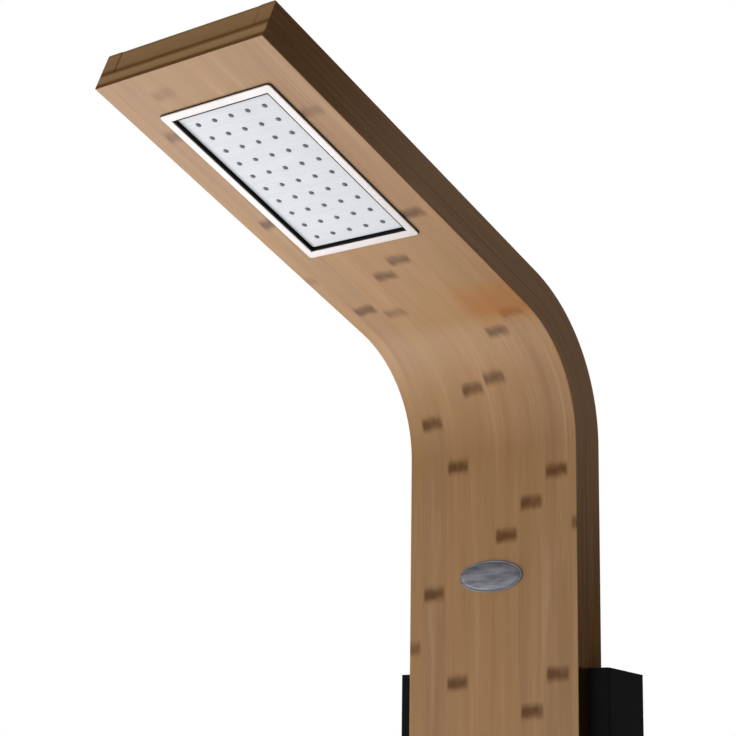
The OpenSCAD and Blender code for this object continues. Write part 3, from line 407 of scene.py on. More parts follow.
# Each strip's node marks, as pairs of place along the column in mm and darkness
NODE_MARKS: dict[int, list[Point]] = {
    -1: [(-186, 0.7), (240, 0.25)],
    0: [(-134, 0.9), (35, 0.9), (183, 1.0), (328, 0.9), (461, 0.7)],
    1: [(-220, 0.9), (-11, 0.9), (171, 0.45), (510, 0.3)],
    2: [(64, 0.8), (226, 0.8)],
    3: [(-82, 0.9), (72, 0.8), (244, 0.8)],
    4: [(-249, 0.9), (-53, 0.9), (121, 0.8)],
    5: [(-215, 0.9), (-25, 0.9), (143, 0.9), (300, 0.8), (446, 0.45)],
    6: [(-75, 0.7), (150, 0.3)],
}
MARK_STRENGTH = {Cut.FRONT: 0.92, Cut.BACK: 0.6, Cut.WALL: 0.35, Cut.END: 0.15}


@dataclass(frozen=True)
class Bamboo(Finish):
    """Laminated bamboo under a satin lacquer: strips with darker node marks, dark edges partly of painted
    shade, pale end grain.

    Lengths are in mm. marks_low and marks_high bound the stretch whose node marks are placed singly;
    below it they fall by chance, one in each joint_gap. Pairs are where something starts to come up or
    to fade, and where it has done so.
    """

    cut: Cut
    strip_w: float = 29.25
    first_seam: float = -84.0
    back_shift: float = 9.0
    wall_stretch: float = 4.0
    joint_gap: float = 205.0
    marks_low: float = -290.0
    marks_high: float = 560.0
    mark_reach: float = 8.0
    mark_core: float = 2.4
    chance_reach: float = 7.4
    chance_core: float = 3.6
    amber_side: Point = (18.0, 50.0)
    amber_rise: Point = (118.0, 150.0)
    amber_fall: Point = (168.0, 205.0)
    faded_rise: Point = (-200.0, 60.0)
    faded_fall: Point = (520.0, 300.0)
    housing_top: float = -210.0
    board_t: float = 15.0
    column_t: float = 38.0
    wall_joint: float = 83.0
    lacquer: float = 0.14

    def placed_marks(self, graph: Graph, index: Socket, along: Socket) -> Socket:
        """Draws the node marks that are placed singly.

        Args:
            graph: the material's graph.
            index: the strip's number.
            along: place along the column, already made a little uneven.

        Returns:
            0 where there is no mark, and the mark's darkness where there is one.
        """
        length = self.marks_high - self.marks_low
        factor = graph.spread(graph.math("DIVIDE", graph.minus(along, self.marks_low), length), 0.0, 1.0)
        total: object = 0.0
        for strip, places in NODE_MARKS.items():
            stops: list[tuple[float, object]] = [(0.0, 0.0)]
            for place, dark in places:
                for shift, share in ((-self.mark_reach, 0.0), (-self.mark_core, 1.0), (self.mark_core, 0.9),
                                     (self.mark_reach, 0.0)):
                    stops.append(((place + shift - self.marks_low) / length, dark * share))
            near = graph.math("COMPARE", index, float(strip), 0.5)
            total = graph.plus(total, graph.times(near, graph.ramp(factor, stops)))
        return total

    def chance_marks(self, graph: Graph, index: Socket, along: Socket) -> Socket:
        """Draws the node marks that fall by chance.

        Args:
            graph: the material's graph.
            index: the strip's number.
            along: place along the column, already made a little uneven.

        Returns:
            0 where there is no mark, and the mark's darkness where there is one.
        """
        place = graph.plus(graph.math("DIVIDE", along, self.joint_gap), graph.chance(index))
        cell = graph.joined(index, graph.math("FLOOR", place), 3.0)
        chance = graph.node("TexWhiteNoise", {"Vector": cell}, noise_dimensions="3D").outputs[0]
        beat = graph.apart(graph.math("FRACT", place), graph.spread(chance, 0.3, 0.7))
        core, reach = self.chance_core / self.joint_gap, self.chance_reach / self.joint_gap
        bar = graph.flip(graph.step(beat, core, reach))
        dark = graph.step(graph.math("FRACT", graph.times(chance, 7.0)), 0.1, 0.8)
        lower = graph.flip(graph.step(along, self.marks_low, self.marks_low + 2.0))
        return graph.times(bar, lower, dark)

    def strips(self, graph: Graph, unrolled: Socket, fibre: Socket, index: Socket) -> Socket:
        """Draws the strips' colours without their marks.

        Args:
            graph: the material's graph.
            unrolled: place on the unrolled column.
            fibre: the fibres' noise.
            index: the strip's number.

        Returns:
            The colour.
        """
        streak = graph.noise(unrolled, (0.16, 0.004, 0.16), 3.0, 0.6)
        cloud = graph.noise(unrolled, (0.012, 0.008, 0.012), 2.0)
        broad = graph.noise(unrolled, (0.075, 0.0035, 0.075), 2.0, 0.5, 0.4)
        olive = graph.noise(unrolled, (0.03, 0.007, 0.03), 2.0)
        tone = graph.chance(graph.plus(index, 7.3))
        gilt = graph.chance(graph.plus(index, 2.6))
        return graph.layered(graph.ramp(fibre, Wood.FIBRES), [
            (graph.spread(streak, 0.0, 0.55), Wood.ROSY),
            (graph.times(tone, 0.42), Wood.DULL),
            (graph.times(graph.step(cloud, 0.5, 0.68), 0.3), Wood.WARM),
            (graph.times(graph.step(broad, 0.5, 0.66), 0.5), Wood.DEEP),
            (graph.times(graph.step(broad, 0.46, 0.3), 0.5), Wood.PALE),
            (graph.times(graph.step(gilt, 0.45, 0.95), 0.34), Wood.GILT),
            (graph.times(graph.step(olive, 0.42, 0.66), 0.4), Wood.OLIVE)])

    def shade(self, graph: Graph, shader: bpy.types.Node) -> None:
        """Draws the strips, their fibres, seams and node marks, and the lacquer over them.

        Args:
            graph: the material's graph.
            shader: its shader.
        """
        unrolled = graph.node("Group", node_tree=UNROLLED).outputs[0]
        x, along, depth = graph.parts(unrolled)
        if self.cut is Cut.FRONT:
            across = x
        elif self.cut is Cut.BACK:
            across = graph.plus(x, self.back_shift)
        else:
            across = graph.times(depth, self.wall_stretch)
        strip = graph.math("DIVIDE", graph.minus(across, self.first_seam), self.strip_w)
        index = graph.math("FLOOR", strip)
        inside = graph.math("FRACT", strip)
        fibre = graph.noise(unrolled, (1.1, 0.012, 1.1), 4.0, 0.62, 0.3)
        to_seam = graph.apart(graph.apart(inside, 0.5), 0.5)
        seam = graph.flip(graph.step(to_seam, 0.0, 0.016))

        bow = graph.times(graph.math("POWER", graph.minus(inside, 0.58), 2.0), 5.0)
        jag = graph.spread(graph.noise(unrolled, (0.11, 0.03, 0.11), 2.5), -2.6, 2.6)
        uneven = graph.plus(along, bow, jag)
        mark = graph.plus(self.placed_marks(graph, index, uneven), self.chance_marks(graph, index, uneven))
        patchy = graph.spread(graph.noise(unrolled, (0.13, 0.1, 0.13)), 0.45, 1.7)
        sides = graph.times(graph.step(to_seam, 0.02, 0.15), graph.spread(inside, 1.25, 0.85))
        mark = graph.math("MULTIPLY", graph.times(mark, patchy), sides, clamp=True)

        colour = graph.layered(self.strips(graph, unrolled, fibre, index), [
            (graph.times(graph.math("POWER", mark, 0.5), 0.3), Wood.MARK_HALO),
            (graph.times(mark, MARK_STRENGTH[self.cut]), Wood.MARK),
            (graph.times(seam, 0.16), Wood.SEAM)])
        if self.cut is Cut.FRONT:
            colour = graph.mix(self.amber(graph, unrolled), colour, Wood.AMBER)
        elif self.cut is Cut.WALL:
            tip = graph.step(along, PATH.tip - 0.6, PATH.tip - 0.2)
            colour = graph.mix(tip, self.stained_and_shaded(graph, unrolled), self.end_grain(graph, unrolled))
        elif self.cut is Cut.END:
            colour = self.end_grain(graph, unrolled)
        else:
            colour = graph.mix(0.35, colour, self.stained_and_shaded(graph, unrolled))
        height = graph.minus(graph.times(fibre, 0.3), graph.times(seam, 0.3), graph.times(mark, 0.35))
        surface(graph, shader, colour, graph.spread(fibre, 0.36, 0.52), graph.bump(height, 0.35, 0.0003),
                {"Specular IOR Level": self.lacquer if self.cut is Cut.FRONT else 0.0})

    def amber(self, graph: Graph, unrolled: Socket) -> Socket:
        """Draws the amber cloud where the bend meets the head.

        Args:
            graph: the material's graph.
            unrolled: place on the unrolled column.

        Returns:
            How strong the cloud is.
        """
        x, along, _ = graph.parts(unrolled)
        wavy = graph.noise(unrolled, (0.05, 0.03, 0.05), 2.0)
        risen = graph.step(along, *self.amber_rise)
        ends = graph.times(risen, graph.flip(graph.step(along, *self.amber_fall)))
        return graph.times(graph.step(x, *self.amber_side), ends, graph.spread(wavy, 0.45, 1.3), 0.8)

    def stained_and_shaded(self, graph: Graph, unrolled: Socket) -> Socket:
        """Draws the sides' thin plies under a dark stain that is partly painted shade, and painted shade
        beside the housing.

        Args:
            graph: the material's graph.
            unrolled: place on the unrolled column.

        Returns:
            The colour.
        """
        _, along, depth = graph.parts(unrolled)
        ply = graph.noise(unrolled, (0.9, 0.006, 0.9), 3.0, 0.6)
        colour = graph.ramp(ply, Wood.PLIES)
        faded = graph.times(graph.step(along, *self.faded_rise), graph.step(along, *self.faded_fall))
        colour = graph.mix(faded, graph.mix(0.25, colour, Wood.STAIN_AND_SHADE_DARK),
                           graph.mix(0.4, colour, Wood.STAIN_FADED))
        glue = graph.flip(graph.step(graph.apart(depth, self.board_t), 0.15, 0.5))
        colour = graph.mix(graph.times(glue, 0.25), colour, Wood.PLY_GLUE)
        # Below the housing's top the board's side edge is painted shade, nearly black, for the shadow between
        # the column and the housing
        housing_shade_mask = graph.step(along, self.housing_top + 2.0, self.housing_top - 2.0)
        painted_housing_shade = graph.mix(graph.spread(ply, 0.0, 0.6), Wood.HOUSING_SHADE_DARK, Wood.HOUSING_SHADE_PALE)
        return graph.mix(housing_shade_mask, colour, painted_housing_shade)

    def end_grain(self, graph: Graph, unrolled: Socket) -> Socket:
        """Draws cut bamboo: strips on end, dotted with dark fibre bundles.

        Args:
            graph: the material's graph.
            unrolled: place on the unrolled column.

        Returns:
            The colour.
        """
        x, _, depth = graph.parts(unrolled)
        face = graph.joined(x, depth, 0.0)
        dots = graph.node("TexVoronoi", {"Vector": face, "Scale": 0.9}, voronoi_dimensions="2D")
        bundle = graph.flip(graph.step(dots.outputs["Distance"], 0.12, 0.4))
        bands = graph.ramp(graph.noise(face, (0.03, 0.5, 0.0), 2.0), Wood.END_BANDS)
        # The layers' dark band at the front edge is partly painted shade of the rounded arris
        layers = graph.ramp(graph.math("DIVIDE", depth, self.column_t), Wood.END_LAYERS)
        joint = graph.apart(graph.math("ABSOLUTE", x), self.wall_joint)
        behind = graph.step(depth, self.board_t - 0.1, self.board_t + 0.1)
        glue = graph.times(graph.flip(graph.step(joint, 0.3, 1.0)), behind)
        return graph.layered(bands, [(0.72, layers), (graph.times(glue, 0.6), Wood.END_GLUE),
                                     (graph.times(bundle, 0.25), Wood.BUNDLE)])


@dataclass(frozen=True)
class Chrome(Finish):
    """Polished chrome plate with faint wiping marks and water spots."""

    tint: Paint = (0.5, 0.51, 0.53, 1.0)
    dark: Paint = (0.36, 0.38, 0.41, 1.0)

    def shade(self, graph: Graph, shader: bpy.types.Node) -> None:
        """Draws a mirror finish whose roughness wanders a little.

        Args:
            graph: the material's graph.
            shader: its shader.
        """
        place = graph.place()
        smear = graph.noise(place, (60, 60, 18), 4.0)
        spots = graph.node("TexVoronoi", {"Vector": place, "Scale": 190.0}).outputs["Distance"]
        spot = graph.flip(graph.step(spots, 0.05, 0.12))
        colour = graph.mix(graph.spread(smear, 0.0, 0.3), self.tint, self.dark)
        rough = graph.plus(graph.spread(smear, 0.03, 0.13), graph.times(spot, 0.06))
        surface(graph, shader, colour, rough, graph.bump(smear, 0.03, 0.0002), {"Metallic": 1.0})


@dataclass(frozen=True)
class BrushedMetal(Finish):
    """Metal with fine lines along one direction; lines gives how tight they are along each axis."""

    tint: Paint
    dark: Paint
    lines: Place
    rough: float = 0.32
    metallic: float = 1.0
    shine: float = 0.5
    low: float = 0.0
    high: float = 1.1

    def shade(self, graph: Graph, shader: bpy.types.Node) -> None:
        """Draws the brushed lines in colour, roughness and height.

        Args:
            graph: the material's graph.
            shader: its shader.
        """
        place = graph.place()
        line = graph.noise(place, self.lines, 4.0, 0.7)
        cloud = graph.noise(place, (25, 25, 25))
        colour = graph.mix(graph.step(line, self.low, self.high), self.tint, self.dark)
        colour = graph.mix(graph.spread(cloud, 0.0, 0.25), colour, self.dark)
        surface(graph, shader, colour, graph.spread(line, self.rough - 0.06, self.rough + 0.12),
                graph.bump(line, 0.12, 0.0001),
                {"Metallic": self.metallic, "Specular IOR Level": self.shine})


@dataclass(frozen=True)
class CastMetal(Finish):
    """Cast and turned metal, a little uneven and tarnished in places."""

    tint: Paint
    dark: Paint
    rough: float = 0.3

    def shade(self, graph: Graph, shader: bpy.types.Node) -> None:
        """Draws tarnish clouds over a grainy surface.

        Args:
            graph: the material's graph.
            shader: its shader.
        """
        place = graph.place()
        grain = graph.noise(place, (900, 900, 900), 2.0)
        tarnish = graph.noise(place, (40, 40, 40), 5.0, 0.65)
        colour = graph.mix(graph.step(tarnish, 0.35, 0.85), self.tint, self.dark)
        surface(graph, shader, colour, graph.spread(tarnish, self.rough - 0.08, self.rough + 0.2),
                graph.bump(grain, 0.25, 0.0001), {"Metallic": 1.0})


@dataclass(frozen=True)
class Coated(Finish):
    """Paint, powder coat or moulded plastic: one colour with a fine skin and slight wear."""

    base: Paint
    worn: Paint
    rough: float = 0.4
    grain: float = 700.0
    relief: float = 0.3
    coat: float = 0.0
    shine: float = 0.3

    def shade(self, graph: Graph, shader: bpy.types.Node) -> None:
        """Draws the skin's grain and its faint clouds of wear.

        Args:
            graph: the material's graph.
            shader: its shader.
        """
        place = graph.place()
        skin = graph.noise(place, (self.grain, self.grain, self.grain), 2.0)
        wear = graph.noise(place, (14, 14, 9), 5.0, 0.6)
        colour = graph.mix(graph.times(graph.step(wear, 0.4, 0.75), 0.5), self.base, self.worn)
        colour = graph.mix(graph.spread(skin, 0.0, 0.12), colour, self.worn)
        surface(graph, shader, colour, graph.spread(wear, self.rough - 0.05, self.rough + 0.08),
                graph.bump(skin, self.relief, 0.00008),
                {"Specular IOR Level": self.shine, "Coat Weight": self.coat, "Coat Roughness": 0.12})


BAMBOO_FRONT = Bamboo("bamboo_front", Cut.FRONT)
# The sides' dark stain is partly painted shade
BAMBOO_WALL = Bamboo("bamboo_stained_and_shaded_wall", Cut.WALL)
BAMBOO_END = Bamboo("bamboo_end_grain", Cut.END)
BAMBOO_BACK = Bamboo("bamboo_back_cover", Cut.BACK)
WARM_DOT = Coated("warm_dot_enamel", srgb(176, 34, 30), srgb(150, 28, 26), rough=0.25, coat=0.4)
COLD_DOT = Coated("cold_dot_enamel", srgb(30, 74, 168), srgb(26, 60, 140), rough=0.25, coat=0.4)

SLOT_FINISH: dict[str, Finish] = {
    "bamboo": BAMBOO_FRONT,
    "bamboo_dark": BAMBOO_WALL,
    "chrome": Chrome("polished_chrome"),
    "spray_steel": BrushedMetal("spray_plate_steel", srgb(211, 213, 217), srgb(186, 189, 195),
                                (30, 900, 900), rough=0.62, metallic=0.1, shine=0.15),
    "badge": BrushedMetal("badge_metal", srgb(128, 128, 134), srgb(66, 69, 76), (22, 150, 139), rough=0.48,
                          metallic=0.25, shine=0.15, low=0.3, high=0.8),
    "fasteners": BrushedMetal("stainless_fasteners", srgb(196, 196, 198), srgb(150, 151, 155),
                              (700, 700, 120), rough=0.28),
    "zinc_steel": CastMetal("zinc_plated_steel", srgb(172, 176, 182), srgb(146, 151, 158), rough=0.36),
    "brass": CastMetal("turned_brass", srgb(198, 164, 96), srgb(136, 104, 56)),
    # The bezel's white is tinted grey-pink, partly as painted shade
    "bezel_white": Coated("bezel_white_gloss_shade_tinted", srgb(201, 194, 192), srgb(184, 178, 176), rough=0.25,
                          grain=300, relief=0.05, coat=0.05),
    "housing_black": Coated("housing_powder_coat", srgb(20, 20, 21), srgb(27, 27, 28), rough=0.55,
                            grain=1100, relief=0.35, shine=0.012),
    "black_plastic": Coated("black_moulding", srgb(18, 18, 19), srgb(28, 28, 29), rough=0.5, shine=0.15),
    "pipe_plastic": Coated("grey_water_pipe", srgb(178, 180, 184), srgb(148, 151, 156), rough=0.38,
                           grain=260),
    "cartridge_plastic": Coated("cartridge_white", srgb(214, 216, 216), srgb(188, 190, 192), rough=0.3),
    "silicone": Coated("nozzle_silicone", srgb(118, 120, 124), srgb(92, 95, 99), rough=0.6, grain=500),
    "seal_rubber": Coated("seal_rubber", srgb(20, 20, 20), srgb(34, 34, 34), rough=0.7, shine=0.1),
}
NODE_FINISH: dict[str, Finish] = {"end_panel": BAMBOO_END, "back_cover": BAMBOO_BACK}


# Meshes


def add_object(name: str, bm: BMesh, finish: Finish, angle: float = 32.0) -> Piece:
    """Links a mesh as an object, with its finish and smooth shading up to an angle.

    Args:
        name: the piece's name.
        bm: the mesh, in metres, which is freed.
        finish: the finish that it takes.
        angle: edges steeper than this, in degrees, stay sharp.

    Returns:
        The object.
    """
    made = bpy.data.objects.new(name, mesh_from(bm, name))
    bpy.context.scene.collection.objects.link(made)
    made.data.materials.append(finish.material())
    smoothed(made, angle)
    return made


def smoothed(piece: Piece, angle: float) -> None:
    """Shades a piece smooth where its faces meet at less than an angle in degrees."""
    piece.data.polygons.foreach_set("use_smooth", [True] * len(piece.data.polygons))
    piece.data.set_sharp_from_angle(angle=math.radians(angle))


def settle(piece: Piece, body: str, nodes: Sequence[str] = (), even: bool = False) -> None:
    """Ties a piece to its body and the nodes that it stands for.

    Args:
        piece: the piece.
        body: the body that it rides on.
        nodes: the nodes that it stands for.
        even: True lets its large flat faces lead the shading, so that softened edges show as highlights.
    """
    if even:
        modifier = piece.modifiers.new("even", "WEIGHTED_NORMAL")
        modifier.keep_sharp = True
        modifier.weight = 80
    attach(piece, body)
    if nodes:
        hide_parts(*nodes)
    LOG.info("%s on %s, %d faces", piece.name, body, len(piece.data.polygons))


def add_piece(name: str, bm: BMesh, body: str, slot: str, nodes: Sequence[str] = (), angle: float = 32.0,
              even: bool = False) -> None:
    """Makes a piece in its slot's finish and settles it."""
    settle(add_object(name, bm, SLOT_FINISH[slot], angle), body, nodes, even)


def mesh_from(bm: BMesh, name: str) -> bpy.types.Mesh:
    """Writes a bmesh into a new mesh and frees it.

    Args:
        bm: the bmesh.
        name: the mesh's name.

    Returns:
        The mesh.
    """
    mesh = bpy.data.meshes.new(name)
    bm.to_mesh(mesh)
    bm.free()
    return mesh


def spot(place: Matrix, x: float, y: float, z: float) -> Vector:
    """Gives a point in metres from mm in a place's own frame."""
    return place @ Vector((x * MM, y * MM, z * MM))


def shift(x: float = 0.0, y: float = 0.0, z: float = 0.0) -> Matrix:
    """Gives a move in mm."""
    return Matrix.Translation((x * MM, y * MM, z * MM))


def oval(half_w: float, half_l: float, count: int) -> list[Point]:
    """Gives points round an oval, in order."""
    angles = [math.tau * i / count for i in range(count)]
    return [(half_w * math.cos(a), half_l * math.sin(a)) for a in angles]


def arc(r: float, start: float, end: float, steps: int) -> list[Point]:
    """Gives the points of an arc with both its ends; angles in radians."""
    angles = [start + (end - start) * i / steps for i in range(steps + 1)]
    return [(r * math.cos(a), r * math.sin(a)) for a in angles]


def bridge(bm: BMesh, low: Sequence[bmesh.types.BMVert], high: Sequence[bmesh.types.BMVert]) -> None:
    """Joins two rings with faces.

    Args:
        bm: the mesh.
        low: the first ring, or a single point.
        high: the second ring, or a single point.
    """
    count = max(len(low), len(high))
    for i in range(count):
        j = (i + 1) % count
        if len(low) == 1:
            bm.faces.new((low[0], high[i], high[j]))
        elif len(high) == 1:
            bm.faces.new((low[i], low[j], high[0]))
        else:
            bm.faces.new((low[i], low[j], high[j], high[i]))


def skinned(rings: Sequence[Sequence[Vector]], closed: bool = False) -> BMesh:
    """Skins rings of points.

    Args:
        rings: the rings in order, in metres.
        closed: True joins the last ring to the first, and False caps both ends.

    Returns:
        The closed mesh.
    """
    bm = bmesh.new()
    lines = [[bm.verts.new(point) for point in ring] for ring in rings]
    for low, high in zip(lines, lines[1:]):
        bridge(bm, low, high)
    if closed:
        bridge(bm, lines[-1], lines[0])
    else:
        bm.faces.new(lines[0])
        bm.faces.new(lines[-1])
    bmesh.ops.recalc_face_normals(bm, faces=bm.faces)
    return bm


def swept(section: Sequence[Point], low: float, high: float) -> BMesh:
    """Sweeps a closed section along the column's path.

    Args:
        section: points of place across and depth behind the front face, in mm.
        low: where the sweep starts along the path.
        high: where it ends.

    Returns:
        The swept mesh.
    """
    rings = []
    for s in PATH.stations(low, high):
        place = PATH.at(s)
        rings.append([spot(place, x, 0, -depth) for x, depth in section])
    return skinned(rings)


def lathe(profile: Sequence[Point], place: Matrix, turns: int = 64) -> BMesh:
    """Turns a profile of (radius, height) points, in mm, about z and puts it at a place.

    Args:
        profile: the outline from one end to the other; points on the axis close it.
        place: where the lathe's axis stands, in metres.
        turns: faces round the axis.

    Returns:
        The turned mesh.
    """
    bm = bmesh.new()
    rings = []
    for r, z in profile:
        points = oval(r, r, turns) if r > 1e-6 else [(0.0, 0.0)]
        rings.append([bm.verts.new(spot(place, x, y, z)) for x, y in points])
    for low, high in zip(rings, rings[1:]):
        bridge(bm, low, high)
    bmesh.ops.remove_doubles(bm, verts=bm.verts, dist=1e-7)
    bmesh.ops.recalc_face_normals(bm, faces=bm.faces)
    return bm


def rounded(profile: Sequence[Point], radius: float, steps: int = 4) -> list[Point]:
    """Rounds the inner corners of an open outline.

    Args:
        profile: the outline's points.
        radius: the rounding's radius, made smaller where an edge is short.
        steps: points on each rounding.

    Returns:
        The outline with its corners rounded.
    """
    made = [profile[0]]
    for before, corner, after in zip(profile, profile[1:], profile[2:]):
        a = Vector(before) - Vector(corner)
        b = Vector(after) - Vector(corner)
        cut = min(radius, a.length * 0.45, b.length * 0.45)
        start = Vector(corner) + a.normalized() * cut
        end = Vector(corner) + b.normalized() * cut
        for i in range(steps + 1):
            t = i / steps
            p = start * (1 - t) ** 2 + Vector(corner) * 2 * t * (1 - t) + end * t ** 2
            made.append((p.x, p.y))
    made.append(profile[-1])
    return made


def joined(parts: Iterable[BMesh]) -> BMesh:
    """Puts several meshes into one and frees them.

    Args:
        parts: the meshes.

    Returns:
        The whole.
    """
    whole = bmesh.new()
    for part in parts:
        spare = mesh_from(part, "part")
        whole.from_mesh(spare)
        bpy.data.meshes.remove(spare)
    return whole


def placed(template: BMesh, places: Iterable[Matrix]) -> BMesh:
    """Copies a template to several places in one mesh, and frees the template.

    Args:
        template: the shape at the origin.
        places: where its copies go.

    Returns:
        The copies.
    """
    spare = mesh_from(template, "template")
    whole = bmesh.new()
    for place in places:
        before = len(whole.verts)
        whole.from_mesh(spare)
        whole.verts.ensure_lookup_table()
        bmesh.ops.transform(whole, matrix=place, verts=whole.verts[before:])
    bpy.data.meshes.remove(spare)
    return whole


def baked(piece: Piece) -> bpy.types.Mesh:
    """Gives the mesh that a piece's modifiers make, and takes the modifiers off.

    Args:
        piece: the piece.

    Returns:
        The new mesh.
    """
    bpy.context.view_layer.update()
    made = bpy.data.meshes.new_from_object(piece.evaluated_get(bpy.context.evaluated_depsgraph_get()))
    piece.modifiers.clear()
    return made


def cut_away(piece: Piece, cutters: Sequence[BMesh], crossing: bool = False) -> None:
    """Cuts solids out of a piece and keeps the result in its mesh.

    Args:
        piece: the piece, with its mesh in metres.
        cutters: the solids that go.
        crossing: True where the cutters run into each other.
    """
    cutter = bpy.data.objects.new("cutter", mesh_from(joined(cutters), "cutter"))
    for mesh in (cutter.data, piece.data):
        mesh.transform(Matrix.Scale(1 / MM, 4))
    bpy.context.scene.collection.objects.link(cutter)
    modifier = piece.modifiers.new("cut", "BOOLEAN")
    modifier.operation = "DIFFERENCE"
    modifier.solver = "EXACT"
    modifier.use_self = crossing
    modifier.object = cutter
    result = baked(piece)
    result.transform(Matrix.Scale(MM, 4))
    old = piece.data
    piece.data = result
    bpy.data.meshes.remove(old)
    bpy.data.objects.remove(cutter)


def block(place: Matrix, low: Sequence[float], high: Sequence[float]) -> BMesh:
    """Makes a box between two corners in mm, at a place.

    Args:
        place: its frame, in metres.
        low: the lowest corner.
        high: the highest corner.

    Returns:
        The box.
    """
    bm = bmesh.new()
    size = [b - a for a, b in zip(low, high)]
    middle = [(a + b) / 2 for a, b in zip(low, high)]
    scale = Matrix.Diagonal((*[s * MM for s in size], 1))
    bmesh.ops.create_cube(bm, size=1.0, matrix=place @ shift(*middle) @ scale)
    return bm


def rod(place: Matrix, r: float, z0: float, z1: float, turns: int = 48) -> BMesh:
    """Makes a plain rod along a place's z axis, for cutting."""
    return lathe([(0, z0), (r, z0), (r, z1), (0, z1)], place, turns)


def soften(bm: BMesh, width: float, angle: float = 35.0) -> None:
    """Bevels the edges that are steeper than an angle.

    Args:
        bm: the mesh.
        width: the bevel's width in mm.
        angle: the angle in degrees.
    """
    limit = math.radians(angle)
    edges = [e for e in bm.edges if len(e.link_faces) == 2 and e.calc_face_angle(0.0) > limit]
    bmesh.ops.bevel(bm, geom=edges, offset=width * MM, offset_type="OFFSET", segments=2, profile=0.5,
                    affect="EDGES", clamp_overlap=True)


def facing(origin: Sequence[float], direction: Sequence[float]) -> Matrix:
    """Gives the frame at a point in mm whose z runs along a direction."""
    return shift(*origin) @ Vector(direction).to_track_quat("Z", "Y").to_matrix().to_4x4()


def on_front(x: float, z: float) -> Matrix:
    """Gives the frame on the column's straight front at (x, z) in mm, with z outwards and y up."""
    return PATH.at(z - PATH.bend_z) @ shift(x)


def round_ring(w: float, l: float, r: float, steps: int = 6) -> list[Point]:
    """Gives the points of a rectangle with round corners, in order.

    Args:
        w: its width.
        l: its length.
        r: its corner radius.
        steps: faces on each corner.

    Returns:
        The points.
    """
    points = []
    for number, (sx, sy) in enumerate(((1, 1), (-1, 1), (-1, -1), (1, -1))):
        for i in range(steps + 1):
            a = math.radians(90 * number + 90 * i / steps)
            points.append((sx * (w / 2 - r) + r * math.cos(a), sy * (l / 2 - r) + r * math.sin(a)))
    return points


def reshaped(bm: BMesh, place: Matrix, move: Callable[[Vector], Vector]) -> BMesh:
    """Moves every point of a mesh by a rule.

    Args:
        bm: the mesh.
        place: the frame that the rule is written in.
        move: gives a point's new place in mm from its old one.

    Returns:
        The same mesh.
    """
    inverse = place.inverted()
    for vert in bm.verts:
        vert.co = place @ (move((inverse @ vert.co) / MM) * MM)
    return bm


def pressed(point: Vector, depth: float) -> Vector:
    """Moves a point towards the z axis by a depth in mm."""
    scale = 1 - depth / math.hypot(point.x, point.y)
    return Vector((point.x * scale, point.y * scale, point.z))


# Fasteners


class Drive(Enum):
    """The recess that a screw is driven by."""

    CROSS = "cross"
    SOCKET = "socket"


@dataclass(frozen=True)
class Fastener:
    """A screw with its head, its shank and its drive; z runs out of the head."""

    head_r: float
    head_h: float
    shank_r: float
    length: float
    drive: Drive = Drive.CROSS
    flat: bool = False

    def profile(self) -> list[Point]:
        """Gives the screw's outline.

        Returns:
            Its points from the shank's end to the head's middle.
        """
        tip = [(0, -self.length), (self.shank_r * 0.6, -self.length), (self.shank_r, -self.length + 0.8)]
        r, h = self.head_r, self.head_h
        if self.flat:
            return tip + [(self.shank_r, -h), (r, -0.25), (r - 0.12, 0), (0, 0)]
        if h == 0:
            return tip + [(self.shank_r, -0.3), (self.shank_r - 0.3, 0), (0, 0)]
        return tip + [(self.shank_r, 0), (r - 0.1, 0), (r, 0.2), (r, h * 0.45), (r * 0.94, h * 0.75),
                      (r * 0.78, h * 0.95), (r * 0.5, h), (0, h)]

    def template(self) -> BMesh:
        """Builds one screw at the origin.

        Returns:
            The screw with its recess cut.
        """
        screw = add_object("screw", lathe(self.profile(), Matrix(), 32), SLOT_FINISH["fasteners"])
        top = 0.0 if self.flat else self.head_h
        reach = max(self.head_r, self.shank_r)
        if self.drive is Drive.CROSS:
            wide, long, deep = reach * 0.13, reach * 0.62, top - reach * 0.45
            cutters = [block(Matrix(), (-long, -wide, deep), (long, wide, top + 1)),
                       block(Matrix(), (-wide, -long, deep), (wide, long, top + 1))]
        else:
            cutters = [rod(Matrix(), reach * 0.55, top - reach * 0.9, top + 1, 6)]
        cut_away(screw, cutters, crossing=True)
        bm = bmesh.new()
        bm.from_mesh(screw.data)
        bpy.data.meshes.remove(screw.data)
        return bm

    def fit(self, name: str, places: Iterable[Matrix], body: str, node: str) -> None:
        """Sets the screw in every place, as the piece that stands for a node.

        Args:
            name: the piece's name.
            places: where the screws go.
            body: the body that they ride on.
            node: the node that they stand for.
        """
        add_piece(name, placed(self.template(), places), body, "fasteners", [node])


# The pieces


@dataclass(frozen=True)
class Front:
    """The places in mm of what comes through the front board, and the holes for it."""

    jets: tuple[Point, ...] = ((-52, -150), (52, -150), (-52, -330), (52, -330))
    jet_hole_r: float = 17.3
    diverter_z: float = -480.0
    diverter_hole_r: float = 12.3
    mixer_z: float = -640.0
    mixer_hole_r: float = 22.25

    def holes(self) -> list[Place]:
        """Returns each hole's place across, height and radius."""
        valves = [(0, self.diverter_z, self.diverter_hole_r), (0, self.mixer_z, self.mixer_hole_r)]
        return [(x, z, self.jet_hole_r) for x, z in self.jets] + valves


FRONT = Front()


